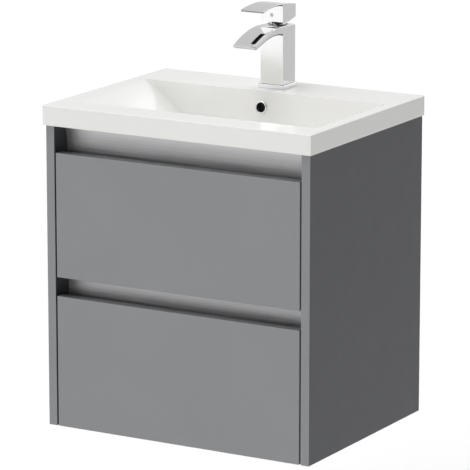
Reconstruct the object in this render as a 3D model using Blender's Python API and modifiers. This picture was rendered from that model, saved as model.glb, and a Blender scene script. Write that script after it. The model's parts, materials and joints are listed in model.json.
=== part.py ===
"""Wall-hung bathroom vanity unit, 500 mm wide: a carcass with two drawers on three-member runners,
a moulded basin with an internal overflow duct, a push-down waste and a single-lever mixer tap.

Frame, in metres: +Z is up, +X is to the right seen from the front, and the front faces -Y.
The wall is the plane Y = 0. The origin is the centre of the wall rail's back face.
Heights named h are measured from the underside of the cabinet.
"""

import math

import bmesh
import bpy
from mathutils import Matrix, Vector

# ---------------------------------------------------------------- driving dimensions

GAP = 0.0003                    # left between pieces that touch

# carcass
RAIL_ABOVE_UNDERSIDE = 0.455    # height of the origin above the cabinet's underside
WIDTH = 0.500
DEPTH = 0.388
CARCASS_H = 0.514
PANEL = 0.016
BACK_INSET = 0.020              # room for the wall rail and pipes behind the back rails
BACK_RAIL_LOW_H = 0.080
BACK_RAIL_UP_LOW = 0.380
BACK_RAIL_UP_TOP = 0.476

# drawer fronts and the finger gaps above them
FRONT_THICK = 0.018
FRONT_SIDE_GAP = 0.0025
FRONT_CLEAR = 0.002             # between a closed front and the bottom panel
LOWER_FRONT_H = (0.0, 0.225)
UPPER_FRONT_H = (0.257, 0.469)
PROFILE_THICK = 0.0015

# drawer boxes and runners
BOX_BOARD = 0.012
BOX_BASE = 0.008
BOX_BACK_Y = -0.060
BRACKET_STEEL = 0.002
BRACKET_LEG = 0.030
BRACKET_TALL = 0.050
BRACKET_LIFT = 0.004            # above the drawer's base
LOWER_BOX_H = (0.030, 0.170)
UPPER_BOX_H = (0.285, 0.375)
RUNNER_SPACE = 0.013            # between a side panel and a drawer side
RUNNER_STEEL = 0.0012
RUNNER_Y = (-0.366, -0.066)
LOWER_RUNNER_H = 0.090
UPPER_RUNNER_H = 0.325
GUARD_HALF_W = 0.058            # trap cut-out, inside
GUARD_THICK = 0.008
GUARD_FRONT_Y = -0.262          # trap cut-out, inside

# basin
BASIN_W = 0.508
BASIN_D = 0.393
BASIN_RIM = 0.034
DECK_THICK = 0.012
BORDER = 0.026                  # solid border under the rim
BOWL_BACK_Y = -0.105
BOWL_FRONT_Y = -0.338
BOWL_HALF_W = 0.236
BOWL_DEPTH = 0.116
BOWL_WALL = 0.009
BOWL_DRAFT = 0.10               # the back and front walls lean in by this much per unit of depth
OVERFLOW_DEPTH = 0.027
OVERFLOW_R = 0.0095

# waste
WASTE_Y = -0.221
WASTE_HOLE_R = 0.023
WASTE_R = 0.0205                # outside of the waste body's tail
WASTE_BORE_R = 0.0170
WASTE_FLANGE_R = 0.0315
WASTE_FLANGE_THICK = 0.0027
WASTE_TAIL = 0.080              # from the bowl's floor to the tail's foot
WASTE_TRAVEL_GAP = 0.009        # between the raised plug and the flange
PLUG_R = 0.0300
PLUG_STEM_R = 0.0040
PLUG_STEM_FOOT = -0.030
SEAL_TOP = -0.024               # the lower seal and the nut, below the bowl
SEAL_THICK = 0.006
WASTE_NUT_THICK = 0.012

# tap, heights from the deck
TAP_Y = -0.051
TAP_HALF_W = 0.022
TAP_BACK_Y = -0.030
TAP_FRONT_Y = -0.072
TAP_PLATE_H = 0.0065
TAP_PIVOT_H = 0.088
TAP_LEVER_BACK_Y = -0.0286
TAP_LEVER_FRONT_Y = -0.0726
TAP_SCREW_H = 0.1255            # the lever's grub screw and the cap over it
SPINDLE_LEAN = math.radians(12.5)
TAP_BORE_R = 0.0151

FACETS = 32

# ---------------------------------------------------------------- derived values

DECK_H = CARCASS_H + BASIN_RIM
INNER_X = WIDTH / 2 - PANEL
FRONT_Y = -DEPTH
FRONT_BACK_Y = FRONT_Y + FRONT_THICK
SIDE_OUT_X = INNER_X - RUNNER_SPACE
SIDE_IN_X = SIDE_OUT_X - BOX_BOARD
FLOOR_H = DECK_H - BOWL_DEPTH
SIDES = (("left", -1), ("right", 1))


def level(h):
    """Z of a height above the cabinet's underside."""
    return h - RAIL_ABOVE_UNDERSIDE


def tap_level(h):
    """Z of a height above the basin's deck."""
    return level(DECK_H + h)


# ---------------------------------------------------------------- scene and materials

for old in list(bpy.data.objects):
    bpy.data.objects.remove(old, do_unlink=True)

unit = bpy.data.collections.new("bathroom_vanity_unit")
cutters = bpy.data.collections.new("cutters")
bpy.context.scene.collection.children.link(unit)
bpy.context.scene.collection.children.link(cutters)


def material(name, colour, roughness, metallic=0.0):
    made = bpy.data.materials.new(name)
    made.use_nodes = True
    shader = made.node_tree.nodes["Principled BSDF"]
    shader.inputs["Base Color"].default_value = (*colour, 1.0)
    shader.inputs["Roughness"].default_value = roughness
    shader.inputs["Metallic"].default_value = metallic
    made.diffuse_color = (*colour, 1.0)
    return made


LACQUER = material("grey_lacquer", (0.26, 0.265, 0.275), 0.45)
BOARD = material("drawer_board", (0.55, 0.55, 0.56), 0.5)
ALUMINIUM = material("brushed_aluminium", (0.62, 0.62, 0.63), 0.35, 1.0)
STEEL = material("galvanised_steel", (0.55, 0.56, 0.58), 0.4, 1.0)
RESIN = material("white_resin", (0.85, 0.85, 0.84), 0.12)
CHROME = material("chrome", (0.80, 0.80, 0.81), 0.06, 1.0)
BRASS = material("brass", (0.70, 0.53, 0.24), 0.3, 1.0)
RUBBER = material("black_rubber", (0.02, 0.02, 0.02), 0.8)
PLASTIC = material("white_plastic", (0.78, 0.78, 0.77), 0.4)
GUARD = material("grey_plastic", (0.33, 0.33, 0.34), 0.5)

# ---------------------------------------------------------------- modelling helpers


def add_object(name, mesh, finish, collection=unit):
    made = bpy.data.objects.new(name, mesh)
    if finish is not None:
        mesh.materials.append(finish)
    collection.objects.link(made)
    return made


def as_cutter(made):
    made.hide_render = True
    made.display_type = "WIRE"
    return made


def smooth(made, angle=35):
    made.data.shade_smooth()
    made.data.set_sharp_from_angle(angle=math.radians(angle))
    return made


def box(name, x, y, z, finish, collection=unit):
    """A block between the two values of each of x, y and z, with its scale in the mesh."""
    shape = bmesh.new()
    bmesh.ops.create_cube(shape, size=1.0)
    size = Vector((abs(x[1] - x[0]), abs(y[1] - y[0]), abs(z[1] - z[0])))
    bmesh.ops.scale(shape, vec=size, verts=shape.verts)
    mesh = bpy.data.meshes.new(name)
    shape.to_mesh(mesh)
    shape.free()
    made = add_object(name, mesh, finish, collection)
    made.location = ((x[0] + x[1]) / 2, (y[0] + y[1]) / 2, (z[0] + z[1]) / 2)
    return made


def cylinder(name, radius, length, finish, collection=unit, facets=FACETS):
    """An upright cylinder about its own origin."""
    shape = bmesh.new()
    bmesh.ops.create_cone(
        shape, cap_ends=True, segments=facets, radius1=radius, radius2=radius, depth=length
    )
    mesh = bpy.data.meshes.new(name)
    shape.to_mesh(mesh)
    shape.free()
    return smooth(add_object(name, mesh, finish, collection))


# local X and Y of an outline's plane, and its normal, as columns
PLANE_YZ = Matrix(((0, 0, 1), (1, 0, 0), (0, 1, 0))).to_4x4()
PLANE_XY = Matrix.Identity(4)


def plate(name, outline, plane, centre, thickness, finish, collection=unit):
    """A flat outline given thickness, made as a filled 2D curve and turned into a mesh."""
    curve = bpy.data.curves.new(name, "CURVE")
    curve.dimensions = "2D"
    curve.fill_mode = "BOTH"
    curve.extrude = thickness / 2
    spline = curve.splines.new("POLY")
    spline.points.add(len(outline) - 1)
    for point, (u, v) in zip(spline.points, outline):
        point.co = (u, v, 0, 1)
    spline.use_cyclic_u = True
    drawn = bpy.data.objects.new(name + "_outline", curve)
    unit.objects.link(drawn)
    evaluated = drawn.evaluated_get(bpy.context.evaluated_depsgraph_get())
    mesh = bpy.data.meshes.new_from_object(evaluated)
    bpy.data.objects.remove(drawn, do_unlink=True)
    shape = bmesh.new()
    shape.from_mesh(mesh)
    bmesh.ops.remove_doubles(shape, verts=shape.verts, dist=0.00001)
    bmesh.ops.recalc_face_normals(shape, faces=shape.faces)
    shape.to_mesh(mesh)
    shape.free()
    mesh.name = name
    mesh.materials.clear()
    made = add_object(name, mesh, finish, collection)
    made.matrix_world = Matrix.Translation(centre) @ plane
    return made


def strip(name, path, x, thickness, finish):
    """Sheet metal bent along a path of (y, z) points and running from x[0] to x[1]."""
    shape = bmesh.new()
    low = [shape.verts.new((x[0], y, z)) for y, z in path]
    edges = [shape.edges.new(pair) for pair in zip(low, low[1:])]
    grown = bmesh.ops.extrude_edge_only(shape, edges=edges)["geom"]
    moved = [item for item in grown if isinstance(item, bmesh.types.BMVert)]
    bmesh.ops.translate(shape, verts=moved, vec=(x[1] - x[0], 0, 0))
    mesh = bpy.data.meshes.new(name)
    shape.to_mesh(mesh)
    shape.free()
    made = add_object(name, mesh, finish)
    shell = made.modifiers.new("sheet", "SOLIDIFY")
    shell.thickness = thickness
    shell.offset = 0
    shell.use_even_offset = True
    return smooth(made)


def channel(name, path, y, thickness, finish):
    """Rolled steel bent along a path of (x, z) points and running from y[0] to y[1]."""
    made = strip(name, [(-u, v) for u, v in path], y, thickness, finish)
    made.rotation_euler.z = math.radians(90)
    return made


def turned(name, profile, finish, location, facets=FACETS, collection=unit):
    """A turned solid. The profile of (radius, height) points runs down its outer side."""
    mesh = bpy.data.meshes.new(name)
    count = len(profile)
    closed = profile[0][0] > 0
    edges = [(i, i + 1) for i in range(count - 1)] + ([(count - 1, 0)] if closed else [])
    mesh.from_pydata([(radius, 0, height) for radius, height in profile], edges, [])
    made = add_object(name, mesh, finish, collection)
    made.location = location
    screw = made.modifiers.new("turn", "SCREW")
    screw.steps = facets
    screw.render_steps = facets
    screw.use_merge_vertices = True
    screw.merge_threshold = 0.00001
    screw.use_smooth_shade = False
    return made


def combine(made, tool, operation):
    step = made.modifiers.new(operation.lower(), "BOOLEAN")
    step.operation = operation
    step.solver = "EXACT"
    step.object = tool
    return made


def cut(made, *tools):
    for tool in tools:
        combine(made, as_cutter(tool), "DIFFERENCE")
    return made


def join(made, *tools):
    for tool in tools:
        combine(made, as_cutter(tool), "UNION")
    return made


def bezier(start, lead, trail, end, steps):
    """Points along a cubic curve, without its last one."""
    points = []
    for i in range(steps):
        t = i / steps
        a, b, c, d = (1 - t) ** 3, 3 * t * (1 - t) ** 2, 3 * t * t * (1 - t), t ** 3
        points.append(tuple(a * p + b * q + c * r + d * s
                            for p, q, r, s in zip(start, lead, trail, end)))
    return points


# ---------------------------------------------------------------- carcass


def carcass():
    inside = (-INNER_X + GAP, INNER_X - GAP)
    top = level(CARCASS_H - GAP)
    for side, sign in SIDES:
        box("side_panel_" + side, (sign * INNER_X, sign * WIDTH / 2), (FRONT_Y, 0),
            (level(0), top), LACQUER)
    box("bottom_panel", inside, (FRONT_BACK_Y + FRONT_CLEAR, -BACK_INSET), (level(0), level(PANEL)),
        LACQUER)
    back = (-BACK_INSET - PANEL, -BACK_INSET)
    box("back_rail_lower", inside, back,
        (level(PANEL + GAP), level(PANEL + BACK_RAIL_LOW_H)), LACQUER)
    box("back_rail_upper", inside, back,
        (level(BACK_RAIL_UP_LOW), level(BACK_RAIL_UP_TOP)), LACQUER)


def finger_profiles():
    """Coves behind the finger gaps. Each ends in a curled lip close behind a drawer front."""
    inside = (-INNER_X + GAP, INNER_X - GAP)
    lip_y = FRONT_BACK_Y + 0.004
    web_y = FRONT_BACK_Y + 0.0215
    top_y = web_y - 0.0065

    low = UPPER_FRONT_H[1] - 0.026
    upper = [(top_y, CARCASS_H - 0.001)]
    upper += bezier((top_y + 0.0005, CARCASS_H - 0.010), (top_y + 0.003, CARCASS_H - 0.028),
                    (web_y, low + 0.040), (web_y, low + 0.018), 5)
    upper += bezier((web_y, low + 0.018), (web_y, low - 0.002), (lip_y + 0.004, low - 0.003),
                    (lip_y, low + 0.005), 6)
    upper.append((lip_y, low + 0.005))
    strip("finger_profile_upper", [(y, level(h)) for y, h in upper], inside, PROFILE_THICK, ALUMINIUM)

    high = UPPER_FRONT_H[0] + 0.010
    low = LOWER_FRONT_H[1] - 0.025
    middle = bezier((lip_y, high - 0.005), (lip_y + 0.004, high + 0.003),
                    (top_y + 0.002, high + 0.002), (top_y + 0.003, high - 0.018), 6)
    middle += bezier((top_y + 0.003, high - 0.018), (top_y + 0.004, high - 0.030),
                     (web_y, low + 0.030), (web_y, low + 0.018), 3)
    middle += bezier((web_y, low + 0.018), (web_y, low - 0.002), (lip_y + 0.004, low - 0.003),
                     (lip_y, low + 0.005), 6)
    middle.append((lip_y, low + 0.005))
    strip("finger_profile_middle", [(y, level(h)) for y, h in middle], inside, PROFILE_THICK, ALUMINIUM)


def wall_fixing():
    """A steel rail on the wall, and a hook in each top corner that hangs over its lip."""
    steel = 0.0025
    half = steel / 2
    foot, step_low, step_high, lip = -0.017, 0.010, 0.014, 0.025
    rail = [(-half, foot), (-half, step_low), (-0.006 - half, step_high), (-0.006 - half, lip)]
    strip("wall_rail", rail, (-0.220, 0.220), steel, STEEL)

    arm_low = lip + GAP
    hook = [(-0.0018, lip - 0.008), (-0.0018, arm_low + 0.007), (-0.042, arm_low + 0.007),
            (-0.052, arm_low + 0.003), (-0.092, arm_low + 0.003), (-0.092, -0.020),
            (-BACK_INSET - PANEL - 0.001, -0.020), (-BACK_INSET - PANEL - 0.001, arm_low),
            (-0.0048, arm_low), (-0.0048, lip - 0.008)]
    thick = 0.014
    for side, sign in SIDES:
        centre = (sign * (INNER_X - GAP - thick / 2), 0, 0)
        plate("hanger_" + side, hook, PLANE_YZ, centre, thick, STEEL)


# ---------------------------------------------------------------- drawers


def runner(drawer, h):
    """Three nested steel channels on each side. u is the distance in from the side panel."""
    sheet = RUNNER_STEEL
    members = (
        ("cabinet_runner", 0.0009, 0.0090, 0.0219),
        ("middle_runner", 0.0046, 0.0106, 0.0199),
        ("drawer_runner", 0.0121, 0.0062, 0.0175),
    )
    for member, web, tip, half_h in members:
        for side, sign in SIDES:
            path = [(tip, half_h), (web, half_h), (web, -half_h), (tip, -half_h)]
            line = [(sign * (INNER_X - u), level(h) + v) for u, v in path]
            channel(f"{drawer}_{member}_{side}", line, RUNNER_Y, sheet, STEEL)


def drawer_front(drawer, heights):
    half = INNER_X - FRONT_SIDE_GAP
    box(drawer + "_drawer_front", (-half, half), (FRONT_Y, FRONT_BACK_Y),
        (level(heights[0]), level(heights[1])), LACQUER)


def drawer_box(drawer, heights):
    low, high = heights
    front = FRONT_BACK_Y + GAP
    between = SIDE_IN_X - GAP
    for side, sign in SIDES:
        box(f"{drawer}_drawer_side_{side}", (sign * SIDE_IN_X, sign * SIDE_OUT_X),
            (front, BOX_BACK_Y), (level(low), level(high)), BOARD)
        inner = sign * (SIDE_IN_X - GAP)
        bend_x, free_x = inner - sign * BRACKET_STEEL, inner - sign * BRACKET_LEG
        bend_y, free_y = front + BRACKET_STEEL, front + BRACKET_LEG
        outline = [(inner, front), (inner, free_y), (bend_x, free_y), (bend_x, bend_y),
                   (free_x, bend_y), (free_x, front)]
        centre = (0, 0, level(low + BOX_BASE + GAP + BRACKET_LIFT + BRACKET_TALL / 2))
        plate(f"{drawer}_front_bracket_{side}", outline, PLANE_XY, centre, BRACKET_TALL, STEEL)
    base = box(drawer + "_drawer_base", (-between, between), (front, BOX_BACK_Y),
               (level(low), level(low + BOX_BASE)), BOARD)
    return base


def lower_drawer():
    low, high = LOWER_BOX_H
    drawer_front("lower", LOWER_FRONT_H)
    drawer_box("lower", LOWER_BOX_H)
    between = SIDE_IN_X - GAP
    box("lower_drawer_back", (-between, between), (BOX_BACK_Y - BOX_BOARD, BOX_BACK_Y),
        (level(low + BOX_BASE + GAP), level(high)), BOARD)
    runner("lower", LOWER_RUNNER_H)


def upper_drawer():
    """The upper drawer's base and back are open around the waste, with a guard round the opening."""
    low, high = UPPER_BOX_H
    drawer_front("upper", UPPER_FRONT_H)
    base = drawer_box("upper", UPPER_BOX_H)
    notch = box("trap_notch", (-GUARD_HALF_W, GUARD_HALF_W), (GUARD_FRONT_Y, 0.01),
                (level(low) - 0.01, level(low + BOX_BASE) + 0.01), None, cutters)
    cut(base, notch)
    floor = level(low + BOX_BASE + GAP)
    outer = GUARD_HALF_W + GUARD_THICK
    guard = [(-outer, BOX_BACK_Y), (-outer, GUARD_FRONT_Y - GUARD_THICK),
             (outer, GUARD_FRONT_Y - GUARD_THICK), (outer, BOX_BACK_Y), (GUARD_HALF_W, BOX_BACK_Y),
             (GUARD_HALF_W, GUARD_FRONT_Y), (-GUARD_HALF_W, GUARD_FRONT_Y), (-GUARD_HALF_W, BOX_BACK_Y)]
    plate("upper_trap_guard", guard, PLANE_XY, (0, 0, (floor + level(high)) / 2),
          level(high) - floor, GUARD)
    for side, sign in SIDES:
        box("upper_drawer_back_" + side, (sign * (outer + GAP), sign * (SIDE_IN_X - GAP)),
            (BOX_BACK_Y - BOX_BOARD, BOX_BACK_Y), (floor, level(high)), BOARD)
    runner("upper", UPPER_RUNNER_H)


# ---------------------------------------------------------------- basin


def bowl_section():
    """(x, depth) points of the bowl's curved ends and flat floor, from left rim to right rim."""
    half = BOWL_HALF_W
    deep = BOWL_DEPTH
    left = bezier((-half, 0), (-0.198, 0.010), (-0.165, 0.042), (-0.148, 0.066), 6)
    left += bezier((-0.148, 0.066), (-0.131, 0.090), (-0.112, deep - 0.003), (-0.075, deep), 5)
    left.append((-0.075, deep))
    return left + [(-x, depth) for x, depth in reversed(left)]


def offset_outline(points, distance):
    """The points moved away from the bowl's inside by a distance."""
    moved = []
    for i, point in enumerate(points):
        before = Vector(points[max(i - 1, 0)])
        after = Vector(points[min(i + 1, len(points) - 1)])
        along = (after - before).normalized()
        moved.append((point[0] - along.y * distance, point[1] + along.x * distance))
    return moved


def bowl_solid(name, wall, top, collection):
    """The bowl's inside, or its outside when it has a wall, closed at a height above the deck."""
    section = offset_outline(bowl_section(), wall)
    outline = [(section[0][0], -top)] + section + [(section[-1][0], -top)]
    shape = bmesh.new()
    ring = [shape.verts.new((x, BOWL_BACK_Y + wall - BOWL_DRAFT * d, level(DECK_H - d)))
            for x, d in outline]
    face = shape.faces.new(ring)
    grown = bmesh.ops.extrude_face_region(shape, geom=[face])["geom"]
    for vertex in [item for item in grown if isinstance(item, bmesh.types.BMVert)]:
        depth = level(DECK_H) - vertex.co.z
        vertex.co.y = BOWL_FRONT_Y - wall + BOWL_DRAFT * depth
    bmesh.ops.recalc_face_normals(shape, faces=shape.faces)
    mesh = bpy.data.meshes.new(name)
    shape.to_mesh(mesh)
    shape.free()
    return add_object(name, mesh, None, collection)


def overflow_place(proud):
    """A point on the overflow's axis, this far in front of the bowl's back wall."""
    lean = math.atan(BOWL_DRAFT)
    wall_y = BOWL_BACK_Y - BOWL_DRAFT * OVERFLOW_DEPTH
    return Vector((0, wall_y - proud * math.cos(lean),
                   level(DECK_H - OVERFLOW_DEPTH) + proud * math.sin(lean)))


def basin():
    half = BASIN_W / 2
    deck, under = level(DECK_H), level(CARCASS_H)
    made = box("basin", (-half, half), (-BASIN_D, 0), (under, deck), RESIN)

    pocket = box("rim_pocket", (-half + BORDER, half - BORDER), (-0.320, -BACK_INSET),
                 (under - 0.01, deck - DECK_THICK), None, cutters)
    cut(made, pocket)

    duct_half, duct_back = 0.022, -0.080
    duct_low = FLOOR_H - 0.024
    duct_wall = box("duct_wall", (-duct_half, duct_half), (BOWL_BACK_Y - 0.020, duct_back),
                    (level(duct_low), deck - 0.004), None, cutters)
    duct_foot = box("duct_foot", (-duct_half, duct_half), (WASTE_Y, duct_back - 0.001),
                    (level(duct_low), level(FLOOR_H - 0.004)), None, cutters)
    waste_boss = cylinder("waste_boss", 0.034, 0.020, None, cutters)
    waste_boss.location = (0, WASTE_Y, level(duct_low + 0.010 + 0.0005))
    join(made, bowl_solid("bowl_outside", BOWL_WALL, -0.006, cutters), duct_wall, duct_foot, waste_boss)

    inside = bowl_solid("bowl_inside", 0, 0.010, cutters)
    tap_hole = cylinder("tap_hole", 0.0175, 0.060, None, cutters)
    tap_hole.location = (0, TAP_Y, deck)
    waste_hole = cylinder("waste_hole", WASTE_HOLE_R, 0.080, None, cutters)
    waste_hole.location = (0, WASTE_Y, level(FLOOR_H))
    fall_half = 0.014
    fall = box("duct_fall", (-fall_half, fall_half), (-0.0935, duct_back - 0.004),
               (level(FLOOR_H - 0.020), level(DECK_H - OVERFLOW_DEPTH + 0.010)), None, cutters)
    run = box("duct_run", (-fall_half + 0.001, fall_half - 0.001), (WASTE_Y + 0.010, -0.0925),
              (level(FLOOR_H - 0.0195), level(FLOOR_H - 0.012)), None, cutters)
    overflow_hole = cylinder("overflow_hole", OVERFLOW_R, 0.030, None, cutters)
    overflow_hole.rotation_euler.x = math.radians(90) - math.atan(BOWL_DRAFT)
    overflow_hole.location = overflow_place(0.0045)
    cut(made, inside, tap_hole, waste_hole, fall, run, overflow_hole)


def overflow_ring():
    hole = OVERFLOW_R - GAP
    bore = OVERFLOW_R - 0.0011
    lip = OVERFLOW_R + 0.0018
    profile = [(bore, 0.0012), (lip - 0.0005, 0.0012), (lip, 0.0007), (lip, 0.0), (hole, 0.0),
               (hole, -0.008), (bore, -0.008)]
    made = turned("overflow_ring", profile, CHROME, overflow_place(0.0005))
    made.rotation_euler.x = math.radians(90) - math.atan(BOWL_DRAFT)


# ---------------------------------------------------------------- waste


def waste_body(place, low):
    """A flanged tail with a slotted wall, and a bar across it that guides the plug's stem."""
    flange_top = low + WASTE_FLANGE_THICK
    profile = [(WASTE_BORE_R, low + 0.001), (WASTE_BORE_R + 0.003, flange_top),
               (WASTE_FLANGE_R - 0.001, flange_top), (WASTE_FLANGE_R, flange_top - 0.001),
               (WASTE_FLANGE_R, low), (WASTE_R, low), (WASTE_R, -WASTE_TAIL),
               (WASTE_BORE_R, -WASTE_TAIL)]
    body = turned("waste_body", profile, CHROME, place)
    across, half_bar = WASTE_BORE_R + 0.001, 0.0025
    bar = box("waste_bar", (-across, across), (WASTE_Y - half_bar, WASTE_Y + half_bar),
              (level(FLOOR_H - 0.030), level(FLOOR_H - 0.0215)), None, cutters)
    hub = cylinder("waste_hub", 0.0075, 0.0145, None, cutters, 24)
    hub.location = (0, WASTE_Y, level(FLOOR_H - 0.0262))
    join(body, bar, hub)
    guide = cylinder("waste_guide", PLUG_STEM_R + 0.0004, 0.030, None, cutters, 24)
    guide.location = (0, WASTE_Y, level(FLOOR_H - 0.026))
    slot_half = 0.006
    slot_heights = (level(FLOOR_H - 0.0190), level(FLOOR_H - 0.0125))
    slot = box("waste_slot", (-slot_half, slot_half), (WASTE_Y - PLUG_R, WASTE_Y + PLUG_R),
               slot_heights, None, cutters)
    cut(body, guide, slot)


def waste():
    """Heights here are from the bowl's floor. The body stands in the hole and is clamped by its nut."""
    place = (0, WASTE_Y, level(FLOOR_H))
    seal_top = 0.0015
    ring, edge = WASTE_R + 0.0005, WASTE_FLANGE_R - 0.001
    turned("waste_top_seal", [(ring, seal_top), (edge, seal_top), (edge, GAP), (ring, GAP)], RUBBER, place)

    low = seal_top + GAP
    waste_body(place, low)

    cap = low + WASTE_FLANGE_THICK + WASTE_TRAVEL_GAP
    dome = bezier((0, cap + 0.0050), (0.012, cap + 0.0050), (0.024, cap + 0.0042),
                  (PLUG_R, cap + 0.0020), 6)
    turned("waste_plug", dome + [(PLUG_R, cap + 0.0020), (PLUG_R, cap), (PLUG_STEM_R, cap - 0.0005),
                                 (PLUG_STEM_R, PLUG_STEM_FOOT), (0.0, PLUG_STEM_FOOT)], CHROME, place)

    ring = WASTE_R + 0.0004
    seal_low = SEAL_TOP - SEAL_THICK
    turned("waste_seal", [(ring, SEAL_TOP - GAP), (0.0325, SEAL_TOP - GAP), (0.0325, SEAL_TOP - 0.003),
                          (0.028, seal_low), (ring, seal_low)], RUBBER, place)
    nut_top = seal_low - GAP
    nut_low = nut_top - WASTE_NUT_THICK
    nut = turned("waste_nut", [(ring, nut_top), (0.0300, nut_top), (0.0300, nut_low), (ring, nut_low)],
                 BRASS, place, facets=6)
    # the six-sided nut keeps a round bore, cut by a cylinder wider than its hexagonal hole
    bore_cutter = cylinder("waste_nut_bore", 0.0240, 0.040, None, cutters)
    bore_cutter.location = (0, WASTE_Y, level(FLOOR_H + (nut_top + nut_low) / 2))
    cut(nut, bore_cutter)


# ---------------------------------------------------------------- tap


def tap_side(points):
    return [(y, tap_level(h)) for y, h in points]


def tap_plate_and_gasket():
    half = TAP_HALF_W + 0.004
    low, high = tap_level(GAP), tap_level(TAP_PLATE_H)
    made = box("tap_base_plate", (-half, half), (TAP_FRONT_Y - 0.004, TAP_BACK_Y + 0.004),
               (low, high), CHROME)
    opening = cylinder("plate_opening", 0.0150, 0.030, None, cutters)
    opening.location = (0, TAP_Y, high)
    recess = cylinder("plate_recess", 0.0220, 0.0036, None, cutters)
    recess.location = (0, TAP_Y, low)
    cut(made, opening, recess)
    thick = 0.0014
    turned("tap_gasket", [(0.0165, thick), (0.0215, thick), (0.0215, 0), (0.0165, 0)], RUBBER,
           (0, TAP_Y, low), 24)


def tap_body():
    """A square column that runs out into a curved spout with a half-round water channel on top."""
    top = bezier((-0.078, 0.1072), (-0.108, 0.1080), (-0.140, 0.0980), (-0.167, 0.0840), 9)
    under = bezier((-0.1585, 0.0801), (-0.125, 0.0940), (-0.095, 0.0980), (TAP_FRONT_Y, 0.0920), 9)
    foot = TAP_PLATE_H + GAP
    outline = [(TAP_BACK_Y, foot), (TAP_BACK_Y, 0.1060)] + top + [(-0.167, 0.0840)] + under
    outline += [(TAP_FRONT_Y, 0.0920), (TAP_FRONT_Y, foot)]
    made = plate("tap_body", tap_side(outline), PLANE_YZ, (0, 0, 0), TAP_HALF_W * 2, CHROME)

    bore = cylinder("cartridge_bore", TAP_BORE_R, 0.060, None, cutters)
    bore.location = (0, TAP_Y, tap_level(0.058 + 0.030))
    stud_hole = cylinder("stud_hole", 0.0043, 0.040, None, cutters, 16)
    stud_hole.location = (0, TAP_Y - 0.011, tap_level(0.007))
    inlets = []
    for side, sign in SIDES:
        inlet = cylinder("inlet_" + side, 0.0047, 0.080, None, cutters, 16)
        inlet.location = (sign * 0.0095, TAP_Y + 0.004, tap_level(0.024))
        inlets.append(inlet)

    # the channel follows the spout's slope between these two (y, h) points on its top
    start, finish = Vector((-0.1205, 0.1026)), Vector((-0.1560, 0.0898))
    half_w, deep = 0.0170, 0.0065
    radius = (half_w ** 2 + deep ** 2) / (2 * deep)
    along = (finish - start).normalized()
    up = Vector((along.y, -along.x))
    middle = (start + finish) / 2 + up * (radius - deep)
    channel_cutter = cylinder("spout_channel", radius, (finish - start).length, None, cutters, 48)
    channel_cutter.location = (0, middle.x, tap_level(middle.y))
    channel_cutter.rotation_euler.x = math.atan2(-along.x, along.y) + math.radians(180)

    # water reaches the channel's upper end through a flat passage from the cartridge
    enter, leave = Vector((-0.060, 0.1015)), Vector((-0.1235, 0.0988))
    reach, half_passage, half_tall = (leave - enter).length / 2, 0.012, 0.0013
    passage = box("spout_passage", (-half_passage, half_passage), (-reach, reach),
                  (-half_tall, half_tall), None, cutters)
    passage.location = (0, (enter.x + leave.x) / 2, tap_level((enter.y + leave.y) / 2))
    passage.rotation_euler.x = math.atan2(enter.y - leave.y, enter.x - leave.x)
    cut(made, bore, stud_hole, *inlets, channel_cutter, passage)


def tap_cartridge():
    """The cartridge's cup, its turning carrier, and the spindle on a pin across the carrier."""
    place = (0, TAP_Y, tap_level(0))
    outer, inner = TAP_BORE_R - GAP, 0.0120
    foot, floor, rim = 0.058 + GAP, 0.076, 0.1000
    turned("tap_cartridge", [(0, floor), (inner, floor), (inner, rim), (outer, rim), (outer, foot),
                             (0, foot)], PLASTIC, place)

    # the nut's dome is part of a sphere about the lever's pivot, so the lever clears it as it lifts
    sphere = 0.0241
    hole = 0.0105
    flange_r, ledge, flange_top = 0.0168, 0.1073, 0.1079
    foot_r = math.sqrt(sphere ** 2 - (flange_top - TAP_PIVOT_H) ** 2)
    dome = []
    for i in range(5):
        radius = hole + (foot_r - hole) * i / 4
        dome.append((radius, TAP_PIVOT_H + math.sqrt(sphere ** 2 - radius ** 2)))
    dome += [(flange_r, flange_top), (flange_r, ledge), (outer, ledge), (outer, rim + GAP),
             (hole, rim + GAP)]
    turned("tap_cartridge_nut", dome, CHROME, place)

    carrier_r = inner - GAP
    low, high = floor + GAP, rim - 0.001
    carrier = cylinder("tap_carrier", carrier_r, high - low, PLASTIC)
    carrier.location = (0, TAP_Y, tap_level((low + high) / 2))
    slot = box("carrier_slot", (-0.0039, 0.0039), (TAP_Y - 0.0085, TAP_Y + 0.0085),
               (tap_level(0.083), tap_level(0.110)), None, cutters)
    pin_hole = cylinder("carrier_pin_hole", 0.0018, 0.022, None, cutters, 16)
    pin_hole.rotation_euler.y = math.radians(90)
    pin_hole.location = (0.0015, TAP_Y, tap_level(TAP_PIVOT_H))
    cut(carrier, slot, pin_hole)

    pin = cylinder("tap_pivot_pin", 0.0015, 0.0175, STEEL, unit, 16)
    pin.rotation_euler.y = math.radians(90)
    pin.location = (0.0, TAP_Y, tap_level(TAP_PIVOT_H))

    half = 0.0035
    pivot = Vector((0, TAP_Y, tap_level(TAP_PIVOT_H)))
    spindle = box("tap_spindle", (-half, half), (-half, half), (-0.0040, 0.0400), STEEL)
    shift = spindle.location.copy()
    spindle.data.transform(Matrix.Translation(shift))
    spindle.location = pivot
    spindle.rotation_euler.x = SPINDLE_LEAN
    eye = cylinder("spindle_eye", 0.0018, 0.020, None, cutters, 16)
    eye.rotation_euler.y = math.radians(90)
    eye.location = pivot
    cut(spindle, eye)


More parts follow.
